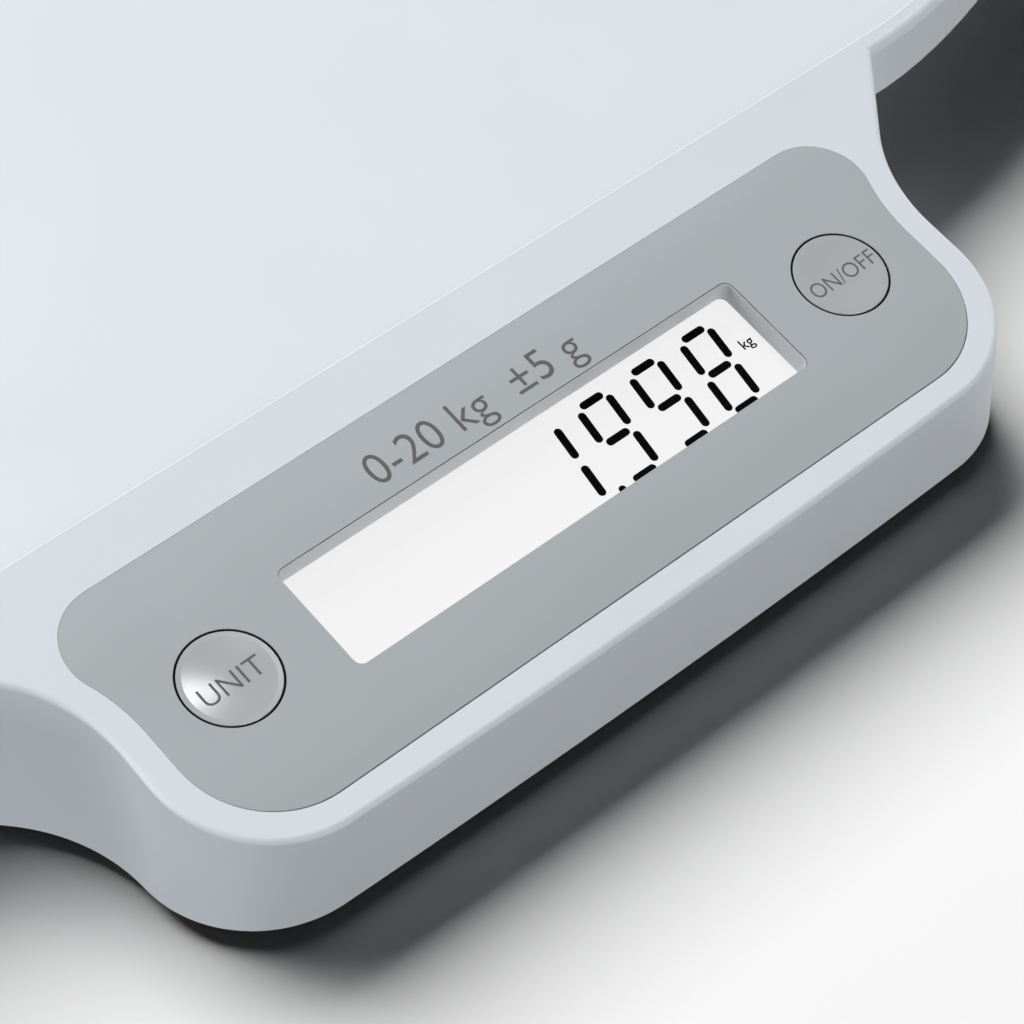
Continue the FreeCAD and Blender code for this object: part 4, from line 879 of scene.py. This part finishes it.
bars = []
for centre, shape in DIGITS:
    bars += digit(centre, *shape)
bars.append(bar(*POINT, 0.0))
paint(join("display_digits", bars), "display_glass", "scale", ink)

# %% [markdown]
# ## Lettering
#
# The lettering is thin and dark grey. Text objects give the letters. They are made a mesh
# first, thinned, and only then laid on the panel, so that each word's place is in its mesh.

# %% Words
LIFT, INK_LIFT = 0.015, 0.02
LETTER_STEPS = 6
FILM_HALF = 0.01
lettering = finish("lettering_grey", (0.125, 0.122, 0.118), 0.5, relief=0.0, shine=0.1)


def word(name, text, size, thin, left, base, height, squeeze=1.0, drape=None):
    """A word as a film of ink on the panel's plane. Its left end and base line are given."""
    bpy.ops.object.select_all(action="DESELECT")
    bpy.ops.object.text_add()
    piece = bpy.context.object
    piece.name = name
    piece.data.body = text
    piece.data.size = size
    piece.data.offset = thin
    piece.data.resolution_u = LETTER_STEPS
    piece.data.extrude = FILM_HALF
    bpy.ops.object.convert(target="MESH")
    piece = bpy.context.object
    first = min(v.co.x for v in piece.data.vertices)
    for v in piece.data.vertices:
        x, y = left + (v.co.x - first) * squeeze, base + v.co.y
        z = height + v.co.z + (drape(x, y) if drape else 0.0)
        v.co = Vector(on_panel([(x, y)], z)[0]) * MM
    bpy.ops.object.select_all(action="DESELECT")
    return piece


capacity = word("capacity_numbers", "0-20 kg  ±5 g", 8.3, -0.05, -24.8, 13.0, LIFT)
paint(capacity, "panel_grey", "scale", lettering)
kilos = word("display_kg", "kg", 2.9, 0.03, 44.4, 0.25, -GLASS_DEPTH + INK_LIFT)
paint(kilos, "display_glass", "scale", ink)

# %% [markdown]
# ## The rings of painted shade
#
# A thin black ring fills the gap round each button. It is painted shade, which makes the
# narrow gap as dark as its shadow. It is a tower whose last outline meets its first one. The
# two end faces are taken away and the points that meet are merged, which closes it. A torus
# would be quicker, but this ring has flat sides and a flat top.

# %% Rings of painted shade
RING = ((8.16, -1.19), (8.55, -1.19), (8.55, -0.18), (8.51, -0.13), (8.20, -0.13), (8.16, -0.18))
MERGE = 0.001
RING_CRISP = 50.0


# A black ring of painted shade, which darkens the narrow gap round one button.
def gap_shade_ring(name, side):
    piece = tower(name, [on_panel(button_hole(side, r), z) for r, z in RING + RING[:1]])
    start_edit(piece)
    bpy.ops.mesh.select_all(action="DESELECT")
    shape = bmesh.from_edit_mesh(piece.data)
    for face in shape.faces:
        if len(face.verts) == ROUND_POINTS:
            face.select = True
    bmesh.update_edit_mesh(piece.data)
    bpy.ops.mesh.delete(type="ONLY_FACE")
    bpy.ops.mesh.select_all(action="SELECT")
    bpy.ops.mesh.remove_doubles(threshold=MERGE * MM)
    face_outwards()
    end_edit()
    soften(piece, RING_CRISP)
    return piece


for name, side in (("unit_gap_shade", -1), ("power_gap_shade", 1)):
    dress(gap_shade_ring(name, side), "black_rubber")

# %% [markdown]
# ## The buttons
#
# Each button is a round cap. A narrow flat band runs round its edge, then the top falls into
# a shallow dish with a crisp rim. A turned shape like this can be spun from a profile. Rings
# stacked as a tower give the same shape and keep its order.

# %% Buttons
BUTTON_RADIUS = 8.15
FLANGE_WIDE, FLANGE_HIGH, FLANGE_Z = 1.3, 1.2, -4.25
POST = (2.2, -5.95)
CAP_EDGE = 0.06
BAND = 0.85
DISH, DISH_CURVE, DISH_STEPS = 0.35, 1.7, 12
DISH_RADIUS = BUTTON_RADIUS - BAND
CAP_CRISP = 3.0


def dish(r):
    """The height of the cap's top at a distance from its middle, which is 0 on the flat band."""
    return -DISH * (1 - (min(DISH_RADIUS, r) / DISH_RADIUS) ** DISH_CURVE)


def button(name, side):
    flange = BUTTON_RADIUS + FLANGE_WIDE
    profile = [(POST[0], POST[1]), (POST[0], FLANGE_Z), (flange, FLANGE_Z),
               (flange, FLANGE_Z + FLANGE_HIGH), (BUTTON_RADIUS, FLANGE_Z + FLANGE_HIGH),
               (BUTTON_RADIUS, -CAP_EDGE), (BUTTON_RADIUS - CAP_EDGE, 0.0), (DISH_RADIUS, 0.0)]
    for k in range(1, DISH_STEPS):
        r = DISH_RADIUS * (1 - k / DISH_STEPS)
        profile.append((r, dish(r)))
    piece = tower(name, [on_panel(button_hole(side, r), z) for r, z in profile])
    soften(piece, CAP_CRISP)
    return piece


dress(button("unit_button_cap", -1), "button_grey", "unit_key", "unit_button")
dress(button("power_button_cap", 1), "button_grey", "power_key", "power_button")

# %% [markdown]
# ## The words on the buttons
#
# They are printed on the dished tops. A shrinkwrap could lay them there. The dish has a
# formula, so each point of a letter is simply set down by the dish's depth at its place.

# %% Words on the buttons
CAP_LIFT = 0.012


def dished(side):
    """Gives the height of a button's top at any point of the panel's plane."""
    def height(x, y):
        return dish(math.hypot(x - side * BUTTON_X, y))
    return height


unit_word = word("unit_lettering", "UNIT", 5.05, -0.035, -70.75, -2.25, CAP_LIFT,
                 drape=dished(-1))
paint(unit_word, "button_grey", "unit_key", lettering)
power_word = word("power_lettering", "ON/OFF", 4.3, -0.03, 58.3, -1.6, CAP_LIFT,
                  squeeze=0.93, drape=dished(1))
paint(power_word, "button_grey", "power_key", lettering)

# %% [markdown]
# ## The feet
#
# A round foot hangs under each corner. Its boss pushes on the load cell, and a rubber pad
# covers its underside. The pad rests on its outer ring only, because its middle is let in.
# A lathe would turn both from a profile, and here the profile is a tower of circles. Their
# edges are rounded, and each foot has a mesh of its own.

# %% Feet and pads
FOOT_X, FOOT_Y = 145.0, 62.0
FOOT, BOSS, PAD = 16.0, 5.0, 14.0
PAD_TOP, FOOT_TOP, BOSS_TOP = 2.4, 6.0, 9.3
PAD_HOLLOW = [(9.0, 0.5), (9.5, 0.0)]
PAD_GAP = 0.02
FOOT_EDGE, FOOT_TOP_EDGE, FOOT_EDGE_STEPS = 0.9, 0.4, 3
FOOT_POINTS = 64
TURNED_CRISP = 35.0


def rounded_edge(radius, height, size, rising):
    """The points of a quarter round at a disc's lower or upper edge."""
    points = []
    for inwards, down in quarter_round(FOOT_EDGE_STEPS):
        if rising:
            points.append((radius - size * down, height + size * inwards))
        else:
            points.append((radius - size * inwards, height - size * down))
    return points


def turned(name, profile, x, y):
    """A round piece from its profile, as a tower of circles."""
    piece = tower(name, [level(circle(r, FOOT_POINTS, (x, y)), z) for r, z in profile])
    soften(piece, TURNED_CRISP)
    return piece


pad_profile = PAD_HOLLOW + rounded_edge(PAD, 0.0, FOOT_EDGE, True) + [(PAD, PAD_TOP - PAD_GAP)]
foot_profile = rounded_edge(FOOT, PAD_TOP, FOOT_EDGE, True)
foot_profile += rounded_edge(FOOT, FOOT_TOP, FOOT_TOP_EDGE, False)
foot_profile += [(BOSS, FOOT_TOP), (BOSS, BOSS_TOP)]
for end, y in (("front", TRAY_Y - FOOT_Y), ("back", TRAY_Y + FOOT_Y)):
    for side, x in (("left", -FOOT_X), ("right", FOOT_X)):
        place = end + "_" + side
        dress(turned("rubber_pad_" + place, pad_profile, x, y), "pad_rubber", "scale",
              "foot_pad_" + place)
        dress(turned("round_foot_" + place, foot_profile, x, y), "foot_white", "scale",
              "foot_" + place)

# %% [markdown]
# ## The battery door's grip
#
# The door slides to the right. Six fine ridges under it give a finger some hold. Bump in the
# material could only hint at them, so each is a small tower that narrows downwards.

# %% Grip ridges
GRIP_COUNT, GRIP_X, GRIP_STEP = 6, 10.0, 2.4
GRIP_LENGTH, GRIP_WIDE = 22.0, 1.0
GRIP_RINGS = ((0.5, 3.7), (1.0, 3.9), (1.0, 4.1))
GRIP_CORNER, GRIP_CORNER_STEPS = 0.45, 4
ridges = []
for k in range(GRIP_COUNT):
    rings = []
    for share, z in GRIP_RINGS:
        wide = GRIP_WIDE * share
        outline = rounded_box(wide, GRIP_LENGTH - GRIP_WIDE + wide, wide * GRIP_CORNER,
                              GRIP_CORNER_STEPS)
        rings.append([(GRIP_X + GRIP_STEP * k + x, TRAY_Y + y, z) for x, y in outline])
    ridges.append(tower("ridge", rings))
grip = join("door_grip", ridges)
soften(grip, TURNED_CRISP)
dress(grip, "white_shell", "door")
